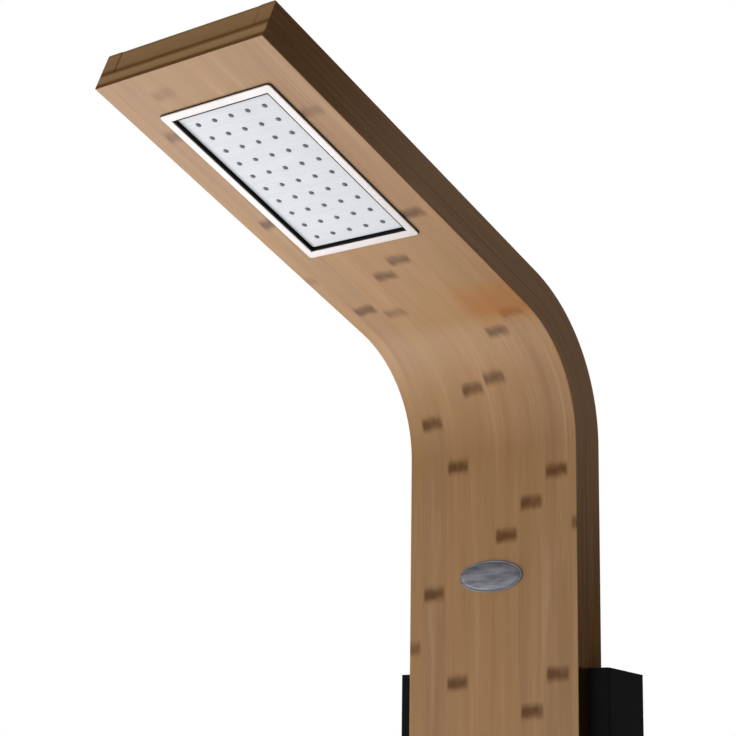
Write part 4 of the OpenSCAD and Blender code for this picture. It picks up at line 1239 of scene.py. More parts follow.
@dataclass
class RainInsert:
    """The rain head's insert: white bezel, brushed spray plate and its silicone nozzles, in mm."""

    tip_gap: float = 49.0
    bezel_w: float = 131.0
    bezel_l: float = 215.5
    corner_r: float = 3.0
    border: float = 9.25
    proud: float = 2.0
    tray_lap: float = 4.0
    plate_gap: float = 1.6
    plate_depth: float = 1.2
    plate_t: float = 1.2
    mat_lap: float = 2.65
    mat_t: float = 2.0
    columns: int = 5
    rows: int = 10
    pitch_x: float = 19.75
    pitch_y: float = 18.75
    nozzle_r: float = 2.4

    @property
    def place(self) -> Matrix:
        """The insert's frame on the head's face."""
        return PATH.head(PATH.head_len - self.tip_gap - self.bezel_l / 2)

    def opening(self, gap: float) -> BMesh:
        """Makes the block that cuts the tray's opening, a gap larger on each side."""
        half_x, half_y = (size / 2 - self.tray_lap + gap for size in (self.bezel_w, self.bezel_l))
        return block(self.place, (-half_x, -half_y, -30), (half_x, half_y, 10))

    def framed(self, section: Sequence[Point], inset: float = 0.0, r: float | None = None,
               closed: bool = True) -> BMesh:
        """Runs a section round the insert.

        Args:
            section: how far in from the outline and how high each line of the frame runs.
            inset: how far the outline stands inside the bezel's.
            r: the outline's corner radius, or None for the bezel's.
            closed: True joins the last line to the first, and False caps both ends.

        Returns:
            The frame's mesh.
        """
        w, l = self.bezel_w - 2 * inset, self.bezel_l - 2 * inset
        r = self.corner_r if r is None else r
        place = self.place
        rings = []
        for cut, height in section:
            ring = round_ring(w - 2 * cut, l - 2 * cut, max(r - cut, 0.4))
            rings.append([spot(place, x, y, height) for x, y in ring])
        return skinned(rings, closed)

    def bezel(self) -> None:
        """Builds the bezel, a dark seal under it whose rim past it is a painted shadow line, and a dark ring
        inside it as painted shade.
        """
        b, h = self.border, self.proud
        section = [(0.1, 1.25), (0.02, 1.4), (0.1, h - 0.3), (0.4, h - 0.05), (0.8, h), (b - 1.6, h),
                   (b - 1.05, h - 0.08), (b - 0.75, h - 0.35), (b - 0.7, h - 0.6), (b - 0.7, 1.02),
                   (b - 2.5, 1.02)]
        bm = self.framed(section)
        add_piece("rain_head_bezel", bm, "root", "bezel_white", ["head_bezel"], 50, even=True)
        # A dark seal under the bezel; its rim 0.5 mm past the bezel is a painted shadow line
        gasket_and_shadow_line = self.framed([(-0.2, 0.02), (-0.5, 0.25), (-0.4, 0.8), (0.12, 1.2), (2.5, 1.3), (2.5, 0.02)])
        # A dark ring that stands as painted shade along the bezel's inner edge
        shadow_lip = self.framed([(b - 0.65, 1.05), (b - 0.65, 1.75), (b + 0.35, 1.75), (b + 0.6, 1.5),
                           (b + 0.6, 1.05)])
        add_piece("rain_head_gasket_and_shadow_lines", joined([gasket_and_shadow_line, shadow_lip]), "root", "seal_rubber")

    def nozzle_spots(self) -> list[Point]:
        """Gives the nozzles' places across and along the insert."""
        return [((i - (self.columns - 1) / 2) * self.pitch_x, (j - (self.rows - 1) / 2) * self.pitch_y)
                for i in range(self.columns) for j in range(self.rows)]

    def spray_plate(self) -> None:
        """Builds the plate with a countersunk hole for each nozzle."""
        inset = self.border + self.plate_gap
        w, l = self.bezel_w - 2 * inset, self.bezel_l - 2 * inset
        edge = [(0.4, 0.0), (0.12, -0.1), (0.0, -0.35), (0.0, 0.3 - self.plate_t), (0.3, -self.plate_t)]
        r = self.nozzle_r + 0.1
        hole = [(r + 0.2, 0.0), (r + 0.05, -0.15), (r, -0.4), (r, -self.plate_t)]
        walls = [[[(x, y, z) for x, y in round_ring(w - 2 * cut, l - 2 * cut, 2 - cut)] for cut, z in edge]]
        for cx, cy in self.nozzle_spots():
            walls.append([[(cx + x, cy + y, z) for x, y in oval(radius, radius, 24)] for radius, z in hole])
        bm = bmesh.new()
        rims: list[list[bmesh.types.BMEdge]] = [[], []]
        for wall in walls:
            rings = [[bm.verts.new(spot(Matrix(), *point)) for point in ring] for ring in wall]
            for low, high in zip(rings, rings[1:]):
                bridge(bm, low, high)
            for rim, ring in zip(rims, (rings[0], rings[-1])):
                rim.extend(bm.edges.get(pair) for pair in zip(ring, ring[1:] + ring[:1]))
        for rim in rims:
            bmesh.ops.triangle_fill(bm, edges=rim, use_beauty=True)
        bmesh.ops.recalc_face_normals(bm, faces=bm.faces)
        bm.transform(self.place @ shift(z=-self.plate_depth))
        add_piece("rain_spray_plate", bm, "root", "spray_steel", ["spray_plate"], even=True)

    def nozzles(self) -> None:
        """Builds the silicone mat and its soft nozzles."""
        r = self.nozzle_r
        foot = -self.plate_t - 0.05
        outline = [(0, foot), (r, foot), (r, -0.35), (r - 0.25, -0.05), (r - 0.5, 0.4), (r - 0.75, 0.75),
                   (r - 1.05, 0.9), (r - 1.4, 0.85), (0.62, 0.7), (0.55, 0.1), (0, 0.0)]
        depth = self.plate_depth + self.plate_t
        mat = self.framed([(0, -depth - self.mat_t), (0, -depth)],
                          self.border + self.plate_gap + self.mat_lap, 2, closed=False)
        places = [self.place @ shift(x, y, -self.plate_depth) for x, y in self.nozzle_spots()]
        bm = joined([mat, placed(lathe(outline, Matrix(), 24), places)])
        add_piece("rain_nozzles", bm, "root", "silicone", ["nozzle_mat"])

    def build(self) -> None:
        """Builds the whole insert."""
        self.bezel()
        self.spray_plate()
        self.nozzles()


@dataclass
class Badge:
    """The bare oval badge below the bend, in mm."""

    width: float = 74.5
    height: float = 30.5
    drop: float = 121.0
    rim_t: float = 1.2
    rim_w: float = 2.25
    dome: float = 2.0
    hole_r: float = 1.55
    hole_depth: float = 6.3

    def pin_holes(self) -> list[BMesh]:
        """Makes the rods that cut the holes for the badge's pins."""
        return [rod(PATH.at(-self.drop) @ shift(x), self.hole_r, -self.hole_depth, 1)
                for x in (-self.width / 4, self.width / 4)]

    def build(self) -> None:
        """Builds a domed oval with a rim and a fine groove inside it."""
        place = PATH.at(-self.drop)
        section = [(0.3, 0.0), (0.0, 0.3), (0.0, 0.8), (0.15, 1.05), (0.45, self.rim_t), (1.5, self.rim_t),
                   (1.75, self.rim_t - 0.25), (2.0, self.rim_t - 0.3), (self.rim_w, self.rim_t - 0.15)]
        reach = self.height / 2 - self.rim_w
        for i in range(1, 12):
            a = math.pi / 2 * i / 12
            section.append((self.rim_w + reach * (1 - math.cos(a)),
                            self.rim_t - 0.1 + (self.dome + 0.1) * math.sin(a)))
        rings = [[spot(place, x, y, height) for x, y in oval(self.width / 2 - cut, self.height / 2 - cut, 96)]
                 for cut, height in section]
        add_piece("oval_badge", skinned(rings), "root", "badge", ["badge_plate"], 60)


@dataclass
class BambooColumn:
    """The hollow bamboo column: front board, side walls, end panel and back cover, in mm."""

    half_w: float = 100.0
    board_t: float = 15.0
    column_t: float = 38.0
    wall_w: float = 17.0
    ledge_w: float = 8.0
    cover_t: float = 4.0
    fit: float = 0.3
    arris: float = 1.5
    inner_arris: float = 0.3
    tongue: float = -270.0
    end_recess: float = 0.3
    end_panel_t: float = 15.0
    screw_x: float = 87.0
    screw_margin: float = 60.0
    low_screws: Point = (-40.0, -150.0)
    screw_hole_r: float = 1.6
    screw_sink_r: float = 3.1

    @property
    def panel_back(self) -> float:
        """Length from the start of the bend to the end panel's inner face."""
        return PATH.tip - self.end_recess - self.end_panel_t

    def corner(self, x: float, depth: float, r: float, turn: float, steps: int = 5) -> list[Point]:
        """Gives the points of a rounded outer corner of a section.

        Args:
            x: the corner's place across.
            depth: the corner's place behind the front face.
            r: its radius.
            turn: the angle in degrees at which the rounding starts.
            steps: the faces on it.

        Returns:
            The points in order.
        """
        angles = [math.radians(turn + 90 * i / steps) for i in range(steps + 1)]
        sx = 1 if math.cos(angles[0]) + math.cos(angles[-1]) > 0 else -1
        sy = 1 if math.sin(angles[0]) + math.sin(angles[-1]) > 0 else -1
        return [(x - sx * r + r * math.cos(a), depth - sy * r + r * math.sin(a)) for a in angles]

    def front_board(self) -> None:
        """Builds the front board with its opening for the rain insert and the valves' holes."""
        w, t = self.half_w, self.board_t
        section = (self.corner(w, 0, self.arris, -90) + self.corner(w, t, self.inner_arris, 0, 2)
                   + self.corner(-w, t, self.inner_arris, 90, 2) + self.corner(-w, 0, self.arris, 180))
        board = add_object("bamboo_front_board", swept(section, PATH.foot, PATH.tip), BAMBOO_FRONT)
        holes = [rod(on_front(x, z), r, -20, 5) for x, z, r in FRONT.holes()]
        cut_away(board, [RainInsert().opening(self.fit)] + Badge().pin_holes() + holes)
        board.data.materials.append(BAMBOO_WALL.material())
        ahead = PATH.head(PATH.head_len).col[1].to_3d()
        for face in board.data.polygons:
            on_side = abs(face.normal.x) > 0.6 and abs(face.center.x) > (w - self.arris) * MM
            if on_side or face.normal.dot(ahead) > 0.999:
                face.material_index = 1
        settle(board, "root", ["front_board"], even=True)

    def side_walls(self) -> None:
        """Builds the two side walls with the ledges that the back cover lies on."""
        w, t = self.half_w, self.column_t
        inner = w - self.wall_w
        ledge = inner + self.ledge_w
        floor = t - self.cover_t
        outline = [(inner, self.board_t), (w, self.board_t)] + self.corner(w, t, self.arris, 0) + [(inner, t)]
        rebate = [(inner - 1, floor), (ledge, floor), (ledge, t + 1), (inner - 1, t + 1)]
        for side, name in ((1, "side_wall_right"), (-1, "side_wall_left")):
            bm = swept([(side * x, depth) for x, depth in outline], self.tongue, PATH.tip)
            room = swept([(side * x, depth) for x, depth in rebate], self.tongue - 1, self.panel_back)
            wall = add_object("bamboo_" + name, bm, BAMBOO_WALL)
            cut_away(wall, [room])
            settle(wall, "root", [name], even=True)

    def end_panel(self) -> None:
        """Builds the panel that closes the head's tip."""
        inner = self.half_w - self.wall_w - 0.01
        place = PATH.at(self.panel_back)
        bm = block(place, (-inner, 0, -self.column_t), (inner, self.end_panel_t, -self.board_t - 0.05))
        soften(bm, 0.2)
        settle(add_object("bamboo_end_panel", bm, BAMBOO_END), "root", ["end_panel"], even=True)

    def cover_screw_places(self) -> list[Matrix]:
        """Gives the back cover's screw places.

        Returns:
            Their frames, with z out of the heads.
        """
        turned = Matrix.Rotation(math.pi, 4, "Y")
        margin, length = self.screw_margin, PATH.head_len
        heights = [PATH.arc + t for t in (margin, length / 2, length - margin)] + list(self.low_screws)
        return [PATH.at(s) @ shift(x, 0, -self.column_t) @ turned
                for x in (-self.screw_x, self.screw_x) for s in heights]

    def back_cover(self) -> None:
        """Builds the thin cover that closes the column from behind, with countersunk holes for its screws."""
        inner = self.half_w - self.wall_w + self.ledge_w - self.fit
        floor = self.column_t - self.cover_t
        section = [(-inner, floor), (inner, floor)] + self.corner(inner, self.column_t, 0.5, 0, 2)
        section += self.corner(-inner, self.column_t, 0.5, 90, 2)
        bm = swept(section, self.tongue, self.panel_back - self.fit)
        cover = add_object("bamboo_back_cover", bm, BAMBOO_BACK)
        r, sink_r = self.screw_hole_r, self.screw_sink_r
        sink = [(0, -8), (r, -8), (r, -2), (sink_r, 0), (sink_r, 1), (0, 1)]
        cut_away(cover, [lathe(sink, place, 32) for place in self.cover_screw_places()])
        settle(cover, "root", ["back_cover"], even=True)

    def build(self) -> None:
        """Builds the whole column."""
        self.front_board()
        self.side_walls()
        self.end_panel()
        self.back_cover()


@dataclass
class BodyJets:
    """The four body jets: a chrome bezel each, and a ball with a rubber spray face, in mm."""

    bezel_r: float = 27.0
    bezel_t: float = 5.0
    ball_r: float = 14.0
    ball_depth: float = 5.0
    flat: float = 11.0
    holes: int = 8
    hole_inset: float = 4.2

    def bezels(self) -> None:
        """Builds the four bezels as one piece."""
        seat = self.ball_r + 0.3
        mouth = math.sqrt(seat ** 2 - (self.bezel_t + self.ball_depth) ** 2)
        inner = math.sqrt(seat ** 2 - self.ball_depth ** 2)
        r, t = self.bezel_r, self.bezel_t
        outline = [(inner, 0), (mouth + 2.2, t * 0.55), (mouth, t - 0.4), (mouth + 0.5, t), (mouth + 3.5, t),
                   (mouth + 4.1, t - 0.5), (mouth + 4.7, t), (r - 3.2, t), (r, t - 3.4), (r, 0), (inner, 0)]
        template = lathe(rounded(outline, 0.9), Matrix(), 72)
        bm = placed(template, [on_front(x, z) for x, z in FRONT.jets])
        add_piece("jet_bezel_rings", bm, "root", "chrome", ["jet_bezels"], 50)

    def ball(self, number: int, place: Matrix) -> None:
        """Builds one swivelling ball and its spray face.

        Args:
            number: the jet's number.
            place: the ball's middle, with z outwards.
        """
        top = self.flat
        face_r = math.sqrt(self.ball_r ** 2 - top ** 2)
        outline = [(0, 6), (face_r - 1.6, 6), (face_r - 1.6, top - 0.4), (face_r - 1.2, top - 0.05),
                   (face_r - 0.3, top)]
        outline += arc(self.ball_r, math.asin(top / self.ball_r), 0.0, 12)[1:]
        outline += [(self.ball_r - 3, 0), (0, 0)]
        add_piece(f"jet_ball_shell_{number}", lathe(outline, place), f"jet_{number}", "chrome",
                  [f"jet_ball_{number}"], 40)
        disc = [(0, 6.2), (face_r - 1.75, 6.2), (face_r - 1.75, top - 0.9), (face_r - 2.4, top - 0.5),
                (0, top - 0.4)]
        nub = [(0, -0.3), (1.15, -0.3), (1.05, 0.5), (0.8, 0.95), (0.55, 1.0), (0.35, 0.8), (0.3, 0.1),
               (0, 0)]
        ring_r = face_r - self.hole_inset
        spots = [(0.0, 0.0)] + oval(ring_r, ring_r, self.holes)
        nubs = placed(lathe(nub, Matrix(), 20), [place @ shift(u, v, top - 0.5) for u, v in spots])
        face = joined([lathe(disc, place, 48), nubs])
        add_piece(f"jet_spray_face_{number}", face, f"jet_{number}", "silicone", angle=40)

    def build(self) -> None:
        """Builds the bezels and the balls."""
        self.bezels()
        for number, (x, z) in enumerate(FRONT.jets, 1):
            self.ball(number, on_front(x, z) @ shift(z=-self.ball_depth))


def cover_plate(name: str, z: float, r: float, bore: float, node: str) -> None:
    """Builds a round cover plate over a valve's locknut.

    Args:
        name: the piece's name.
        z: its height in mm.
        r: its outer radius.
        bore: the radius of the hole in its face.
        node: the node that it stands for.
    """
    outline = [(bore, 6.5), (bore, 8), (r - 2.6, 8), (r, 5.4), (r, 0), (r - 1.5, 0), (r - 1.5, 5.0),
               (r - 3, 6.5), (bore, 6.5)]
    add_piece(name, lathe(rounded(outline, 1.1), on_front(0, z), 96), "root", "chrome", [node], 50)


@dataclass
class Diverter:
    """The diverter's cover plate and its fluted knob, in mm."""

    plate_r: float = 25.0
    plate_bore: float = 5.6
    knob_r: float = 21.0
    back: float = 9.5
    height: float = 22.0
    flutes: int = 16
    flute_depth: float = 1.5
    screw_rise: float = 19.0
    screw_hole_r: float = 2.1

    @property
    def top(self) -> float:
        """How far the knob's face stands in front of the board."""
        return self.back + self.height

    def fluted(self, point: Vector) -> Vector:
        """Presses the flutes into the knob's side.

        Args:
            point: a point of the smooth knob.

        Returns:
            Its new place.
        """
        edge = self.top - 0.05
        if math.hypot(point.x, point.y) < self.knob_r - 4.5 or not self.back + 0.5 < point.z < edge:
            return point
        wave = abs(math.sin(math.atan2(point.y, point.x) * self.flutes / 2))
        return pressed(point, self.flute_depth * min(1.0, (edge - point.z) / 3.0) * (1 - wave) ** 1.5)

    def knob(self) -> None:
        """Builds the knob with soft flutes, a dished face and a pointer line."""
        place = on_front(0, FRONT.diverter_z)
        r, low, top = self.knob_r, self.back, self.top
        outline = [(0, low), (r - 1.5, low), (r, low + 1.5)]
        outline += [(r, low + 1.5 + (self.height - 3.5) * i / 6) for i in range(1, 6)]
        outline += [(r, top - 2), (r - 0.5, top - 0.9), (r - 1.6, top - 0.15), (r - 3, top),
                    (r - 5, top - 0.2), (r - 5.8, top - 0.7), (r - 7, top - 0.9), (0, top - 0.5)]
        bm = reshaped(lathe(outline, place, 192), place, self.fluted)
        knob = add_object("diverter_knob_grip", bm, SLOT_FINISH["chrome"], 50)
        sideways = place @ shift(z=self.back + self.height / 2) @ Matrix.Rotation(-math.pi / 2, 4, "X")
        cut_away(knob, [rod(sideways, self.screw_hole_r, 12, 30, 24)])
        knob.data.set_sharp_from_angle(angle=math.radians(50))
        settle(knob, "diverter", ["diverter_knob"])
        line = block(place, (-0.7, r - 12.5, top - 1.4), (0.7, r - 6.2, top - 0.35))
        soften(line, 0.2)
        add_piece("diverter_pointer", line, "diverter", "black_plastic")

    def build(self) -> None:
        """Builds the cover plate, the knob and its set screw."""
        z = FRONT.diverter_z
        cover_plate("diverter_cover_plate", z, self.plate_r, self.plate_bore, "diverter_escutcheon")
        self.knob()
        y = PATH.front_y - self.back - self.height / 2
        place = facing((0, y, z + self.screw_rise), (0, 0, 1))
        Fastener(2, 0, 2, 13.9, Drive.SOCKET).fit("diverter_set_screw", [place], "diverter", "knob_screw")


def height_at(line: Sequence[Point], at: float) -> float:
    """Reads a height off a bent line that runs level before its first point.

    Args:
        line: the line's points.
        at: where it is read.

    Returns:
        The height there.
    """
    for (x0, y0), (x1, y1) in zip(line, line[1:]):
        if at < x1:
            return y0 + (y1 - y0) * max(0.0, at - x0) / (x1 - x0)
    return line[-1][1]


@dataclass
class Mixer:
    """The single lever mixer's cover plate, lever and its screw, in mm."""

    plate_r: float = 34.95
    plate_bore: float = 21.4
    centre: float = 14.0
    inner: float = 21.8
    outer: float = 27.0
    cut: float = 13.0
    hub_r: float = 9.0
    hub: float = 30.0
    reach: float = 98.0
    width: float = 22.0
    round_from: float = 86.0
    voxel: float = 0.9
    blade_sides: int = 24
    front_line: tuple[Point, ...] = ((0, 28), (98, 38))
    back_line: tuple[Point, ...] = ((18, 15), (30, 23), (98, 34))
    spindle_r: float = 4.02
    screw_hole_r: float = 1.55
    screw_sink_r: float = 3.2
    screw_sink: float = 2.0
    dot_x: float = 6.5
    dot_rise: float = 28.2

    def cap(self, place: Matrix) -> BMesh:
        """Builds the lever's cap over the dome, with its hub.

        Args:
            place: the dome's middle, with z outwards.

        Returns:
            The cap's mesh.
        """
        outline = arc(self.inner, math.pi / 2, math.asin(self.cut / self.inner), 12)
        outline += arc(self.outer, math.asin(self.cut / self.outer), math.acos(self.hub_r / self.outer), 12)
        outline += [(self.hub_r, self.hub - 1.5), (self.hub_r - 1.2, self.hub), (0, self.hub)]
        return lathe(outline, place)

    def blade(self, place: Matrix) -> BMesh:
        """Lofts the lever's blade from the cap to its round tip.

        Args:
            place: the dome's middle, with z outwards.

        Returns:
            The blade's mesh.
        """
        rings = []
        for out in (-2, 6, 14, 22, 30, 42, 56, 70, 82, 90, 94.5, 97, self.reach):
            front = height_at(self.front_line, out)
            back = height_at(self.back_line, out)
            ending = max(0.0, (out - self.round_from) / (self.reach - self.round_from))
            half = self.width / 2 - (self.width / 6) * max(0.0, out / self.reach)
            half *= math.sqrt(max(0.02, 1 - ending ** 2))
            thick = (front - back) / 2 * math.sqrt(max(0.15, 1 - 0.8 * ending ** 2))
            ring = []
            for cx, cz in oval(1, 1, self.blade_sides):
                u = half * math.copysign(abs(cx) ** 0.55, cx)
                v = thick * math.copysign(abs(cz) ** 0.7, cz)
                ring.append(spot(place, u, -out, (front + back) / 2 + v))
            rings.append(ring)
        return skinned(rings)

    def lever(self) -> None:
        """Melts the cap and the blade into one lever, and bores it for its screw."""
        place = on_front(0, FRONT.mixer_z) @ shift(z=self.centre)
        bm = joined([self.cap(place), self.blade(place)])
        lever = add_object("mixer_lever_handle", bm, SLOT_FINISH["chrome"], 60)
        melt = lever.modifiers.new("melt", "REMESH")
        melt.mode = "VOXEL"
        melt.voxel_size = self.voxel * MM
        smooth = lever.modifiers.new("smooth", "SMOOTH")
        smooth.iterations = 8
        smooth.factor = 0.5
        lever.data = baked(lever)
        hollow = arc(self.inner, -math.pi / 2, math.pi / 2, 24)[1:-1]
        cut_away(lever, [lathe([(0, -self.inner)] + hollow + [(0, self.inner)], place),
                         rod(place, self.spindle_r, 20, 25.4), rod(place, self.screw_hole_r, 24, self.hub),
                         rod(place, self.screw_sink_r, self.hub - self.screw_sink, 36)], crossing=True)
        smoothed(lever, 45)
        settle(lever, "mixer_handle", ["mixer_lever"])

    def marks(self) -> None:
        """Sets a warm and a cold dot on the cover plate."""
        for name, side, finish in (("warm_dot", -1, WARM_DOT), ("cold_dot", 1, COLD_DOT)):
            place = on_front(side * self.dot_x, FRONT.mixer_z + self.dot_rise)
            dot = lathe([(0, 7.6), (1.7, 7.6), (1.7, 8.1), (1.4, 8.3), (0, 8.35)], place, 32)
            settle(add_object("mixer_" + name, dot, finish), "root")

    def build(self) -> None:
        """Builds the cover plate, the lever, its screw and the dots."""
        z = FRONT.mixer_z
        cover_plate("mixer_cover_plate", z, self.plate_r, self.plate_bore, "mixer_escutcheon")
        self.lever()
        self.marks()
        place = facing((0, PATH.front_y - self.centre - self.hub + self.screw_sink, z), (0, -1, 0))
        screw = Fastener(3, 1.8, 1.5, 11.6, Drive.SOCKET)
        screw.fit("mixer_lever_screw", [place], "mixer_handle", "lever_screw")


@dataclass
class Supplies:
    """The hot and cold inlets: hexagonal collars with a cut pipe thread, in mm."""

    x: float = 60.0
    y: float = -34.0
    low: float = -698.0
    collar: float = -673.0
    collar_t: float = 7.0
    collar_proud: float = 3.5
    top: float = -654.0
    r: float = 10.48
    bore: float = 7.0
    pitch: float = 1.814
    depth: float = 1.16
    rows_per_pitch: int = 6

    def grooved(self, point: Vector) -> Vector:
        """Presses the thread's groove into the nipple's side.

        Args:
            point: a point of the smooth nipple.

        Returns:
            Its new place.
        """
        if math.hypot(point.x, point.y) < self.r - 0.5:
            return point
        phase = (point.z / self.pitch - math.atan2(point.y, point.x) / math.tau) % 1.0
        return pressed(point, self.depth * min(1.0, abs(2 * phase - 1) * 1.25))

    def thread(self, place: Matrix, length: float) -> BMesh:
        """Cuts a helical thread into the nipple below its collar.

        Args:
            place: the nipple's lower end.
            length: the thread's length.

        Returns:
            The threaded mesh.
        """
        rows = round(length / self.pitch * self.rows_per_pitch)
        outline = [(self.bore, 0), (self.r - self.depth, 0)]
        outline += [(self.r, length * i / rows) for i in range(1, rows + 1)]
        outline += [(self.bore, length), (self.bore, 0)]
        return reshaped(lathe(outline, place, 48), place, self.grooved)

    def build(self) -> None:
        """Builds both inlets."""
        rise = self.collar - self.low
        above = rise + self.collar_t
        end = self.top - self.low
        wide = self.r + self.collar_proud
        hexagon = [(self.bore, rise), (wide - 0.5, rise), (wide, rise + 0.6), (wide, above - 0.6),
                   (wide - 0.5, above), (self.bore, above), (self.bore, rise)]
        neck = [(self.bore, above), (self.r, above), (self.r, end), (self.bore, end), (self.bore, above)]
        for side, name in ((-1, "hot_inlet"), (1, "cold_inlet")):
            place = shift(side * self.x, self.y, self.low)
            bm = joined([self.thread(place, rise), lathe(hexagon, place, 6), lathe(neck, place, 48)])
            add_piece(name + "_nipple", bm, "root", "brass", [name])


@dataclass
class ScrewSets:
    """The screws of the back cover, the bracket, the board and the lower rail, in mm.

    Each place is that of the right side's first screw.
    """

    bracket: Place = (95.5, -31.5, 34.0)
    bracket_rise: float = 8.0
    board: Place = (88.0, -54.5, -50.0)
    board_drop: float = 207.0
    board_rows: int = 5
    lock: Place = (122.8, -16.0, -858.0)

    def from_behind(self, place: Place, rises: Iterable[float]) -> list[Matrix]:
        """Gives the frames of screws on both sides whose heads face the wall.

        Args:
            place: the right side's first screw.
            rises: how far each of a side's screws stands above it.

        Returns:
            The frames, with z out of the heads.
        """
        x, y, z = place
        heights = [z + rise for rise in rises]
        return [facing((side * x, y, height), (0, 1, 0)) for side in (-1, 1) for height in heights]

    def build(self) -> None:
        """Builds each set as one piece."""
        cover = BambooColumn().cover_screw_places()
        bracket = self.from_behind(self.bracket, (0, self.bracket_rise))
        board = self.from_behind(self.board, [-self.board_drop * i for i in range(self.board_rows)])
        x, y, z = self.lock
        lock = [facing((side * x, y, z), (side, 0, 0)) for side in (-1, 1)]
        for name, screw, places, node in (
                ("back_cover_screw_set", Fastener(3, 2, 1.5, 14, flat=True), cover, "back_cover_screws"),
                ("bracket_screw_set", Fastener(4, 2.4, 2, 18), bracket, "column_screws"),
                ("board_screw_set", Fastener(4, 2.4, 2, 11), board, "board_screws"),
                ("lock_screw_set", Fastener(2, 0, 2, 20.8, Drive.SOCKET), lock, "lock_screws")):
            screw.fit(name, places, "root", node)


# Nodes that keep their shape

# The width in mm by which each node's sharp edges are eased
EASED = {"housing_shell": 0.35, "top_cap": 0.4, "bottom_cap": 0.4, "column_bracket": 0.3,
         "upper_hanger": 0.3, "lower_hanger": 0.3, "upper_wall_rail": 0.4, "lower_wall_rail": 0.4}


def node_slots() -> dict[str, str]:
    """Returns each node's material slot from the record."""
    return {part["node"]: part["material_slot"] for part in frame["record"]["subparts"]}


def dress_nodes() -> None:
    """Gives each node its finish."""
    slots = node_slots()
    for name, node in frame["nodes"].items():
        node.data.materials.clear()
        node.data.materials.append(NODE_FINISH.get(name, SLOT_FINISH[slots[name]]).material())


def ease_nodes() -> None:
    """Replaces some nodes by pieces in their own shape, with their sharp edges eased."""
    slots = node_slots()
    for node, width in EASED.items():
        bm = bmesh.new()
        bm.from_mesh(frame["nodes"][node].data)
        bmesh.ops.remove_doubles(bm, verts=bm.verts, dist=2e-6)
        bmesh.ops.dissolve_limit(bm, angle_limit=math.radians(0.4), verts=bm.verts, edges=bm.edges)
        soften(bm, width)
        add_piece(node + "_eased", bm, "root", slots[node], [node], 40, even=True)


# Stage, light and camera


@dataclass(frozen=True)
class Lamp:
    """One soft square lamp, in metres and watts; mirrored and lights say which surfaces see it."""

    name: str
    place: Place
    target: Place
    size: float
    power: float
    mirrored: bool = True
    lights: bool = True
    spread: float = math.radians(140.0)

    def hang(self) -> None:
        """Hangs the lamp."""
        light = bpy.data.lights.new(self.name, "AREA")
        light.shape = "SQUARE"
        light.size = self.size
        light.energy = self.power
        light.spread = self.spread
        made = bpy.data.objects.new(self.name, light)
        made.location = self.place
        aim = Vector(self.target) - Vector(self.place)
        made.rotation_euler = aim.to_track_quat("-Z", "Y").to_euler()
        made.visible_glossy = self.mirrored
        made.visible_diffuse = self.lights
        bpy.context.scene.collection.objects.link(made)


LAMPS = (
    Lamp("key_lamp", (-1.2, -2.0, -0.6), (0, -0.2, 0.25), 2.5, 24.3, mirrored=False),
    Lamp("gloss_lamp", (-1.2, -2.0, -0.6), (0, -0.2, 0.25), 2.0, 14, lights=False),
    Lamp("low_lamp", (-1.2, -0.3, -0.6), (0, -0.4, 0.5), 1.1, 16.5),
    Lamp("top_lamp", (0.6, -0.6, 2.4), (0, -0.1, 0.2), 1.8, 10),
    Lamp("rear_lamp", (-1.2, 2.2, 1.0), (0, 0, -0.2), 1.6, 20),
)


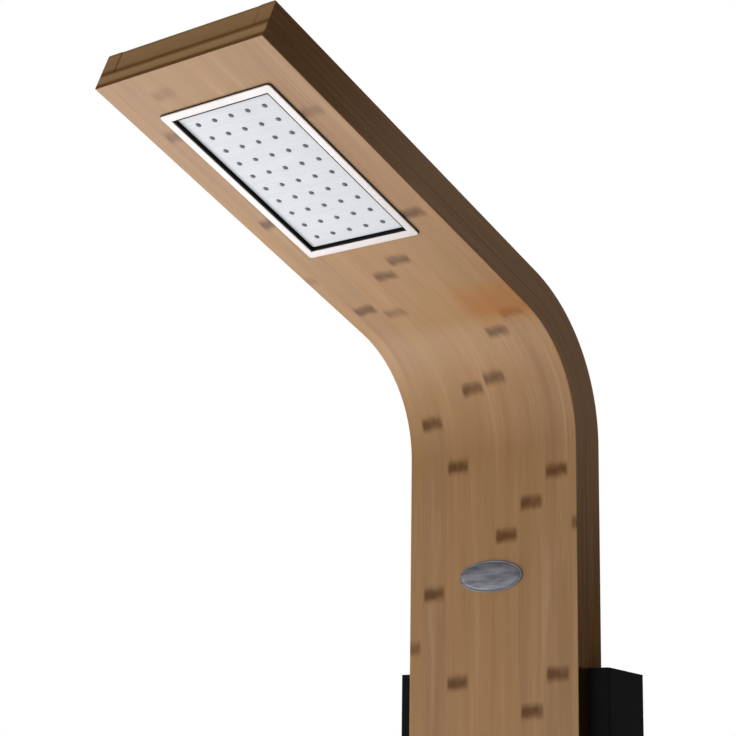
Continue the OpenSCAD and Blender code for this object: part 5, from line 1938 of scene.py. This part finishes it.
@dataclass
class Studio:
    """The floor, the world and the camera, in metres."""

    floor_z: float = -0.9185
    floor_r: float = 60.0
    eye: Place = (1.12493, -1.56727, -0.0460)
    yaw: float = math.radians(40.63)
    pitch: float = math.radians(12.3)
    roll: float = math.radians(0.77)
    lens: float = 95.59

    def white_seen(self, graph: Graph) -> Socket:
        """Tells what is seen, straight or in a mirror-like surface, from other light.

        Args:
            graph: the graph of the world or the floor.

        Returns:
            1 where it is seen, and 0 for other light.
        """
        path = graph.node("LightPath").outputs
        seen = graph.math("MAXIMUM", path["Is Camera Ray"], path["Is Glossy Ray"])
        return graph.math("MAXIMUM", seen, path["Is Transmission Ray"])

    def world(self) -> None:
        """Makes a world that is white where it is seen and lights softly elsewhere."""
        world = bpy.data.worlds.new("studio_world")
        bpy.context.scene.world = world
        world.use_nodes = True
        graph = Graph(world.node_tree)
        back = world.node_tree.nodes["Background"]
        back.inputs["Color"].default_value = (1, 1, 1, 1)
        graph.feed(back.inputs["Strength"], graph.spread(self.white_seen(graph), 0.3, 1.0))

    def floor(self) -> None:
        """Lays a pale floor under the column."""
        bm = bmesh.new()
        bmesh.ops.create_circle(bm, cap_ends=True, segments=64, radius=self.floor_r,
                                matrix=Matrix.Translation((0, 0, self.floor_z)))
        floor = bpy.data.objects.new("studio_floor", mesh_from(bm, "studio_floor"))
        bpy.context.scene.collection.objects.link(floor)
        material = bpy.data.materials.new("pale_floor")
        material.use_nodes = True
        graph = Graph(material.node_tree)
        shader = material.node_tree.nodes["Principled BSDF"]
        speck = graph.noise(graph.place(), (3, 3, 3), 2.0)
        colour = graph.mix(speck, (0.86, 0.86, 0.86, 1), (0.9, 0.9, 0.9, 1))
        graph.feed(shader.inputs["Base Color"], colour)
        shader.inputs["Roughness"].default_value = 0.7
        shader.inputs["Emission Color"].default_value = (1, 1, 1, 1)
        away = graph.node("VectorMath", {0: graph.place()}, operation="LENGTH").outputs["Value"]
        glow = graph.spread(graph.step(away, 1.2, 3.2), 0.42, 1.0)
        graph.feed(shader.inputs["Emission Strength"], graph.times(self.white_seen(graph), glow))
        floor.data.materials.append(material)

    def camera(self) -> None:
        """Stands the camera where the photograph was taken."""
        level = Vector((-math.sin(self.yaw), math.cos(self.yaw), 0)) * math.cos(self.pitch)
        ahead = level + Vector((0, 0, math.sin(self.pitch)))
        right = Vector((math.cos(self.yaw), math.sin(self.yaw), 0))
        across = right * math.cos(self.roll) + right.cross(ahead) * math.sin(self.roll)
        data = bpy.data.cameras.new("photo_camera")
        data.lens = self.lens
        data.sensor_width = 36.0
        camera = bpy.data.objects.new("photo_camera", data)
        turn = Matrix((across, across.cross(ahead), -ahead)).transposed().to_4x4()
        camera.matrix_world = Matrix.Translation(self.eye) @ turn
        bpy.context.scene.collection.objects.link(camera)
        bpy.context.scene.camera = camera

    def build(self) -> None:
        """Builds the studio and hangs its lamps."""
        self.world()
        self.floor()
        for lamp in LAMPS:
            lamp.hang()
        self.camera()


def main() -> None:
    """Builds the studio and every piece in order."""
    logging.basicConfig(level=logging.INFO, format="%(name)s: %(message)s")
    bpy.context.scene.view_settings.view_transform = "Standard"
    Studio().build()
    dress_nodes()
    for assembly in (BambooColumn(), RainInsert(), Badge(), BodyJets(), Diverter(), Mixer(), Supplies(),
                     ScrewSets()):
        LOG.info("building %s", type(assembly).__name__)
        assembly.build()
    ease_nodes()


if __name__ == "__main__":
    main()
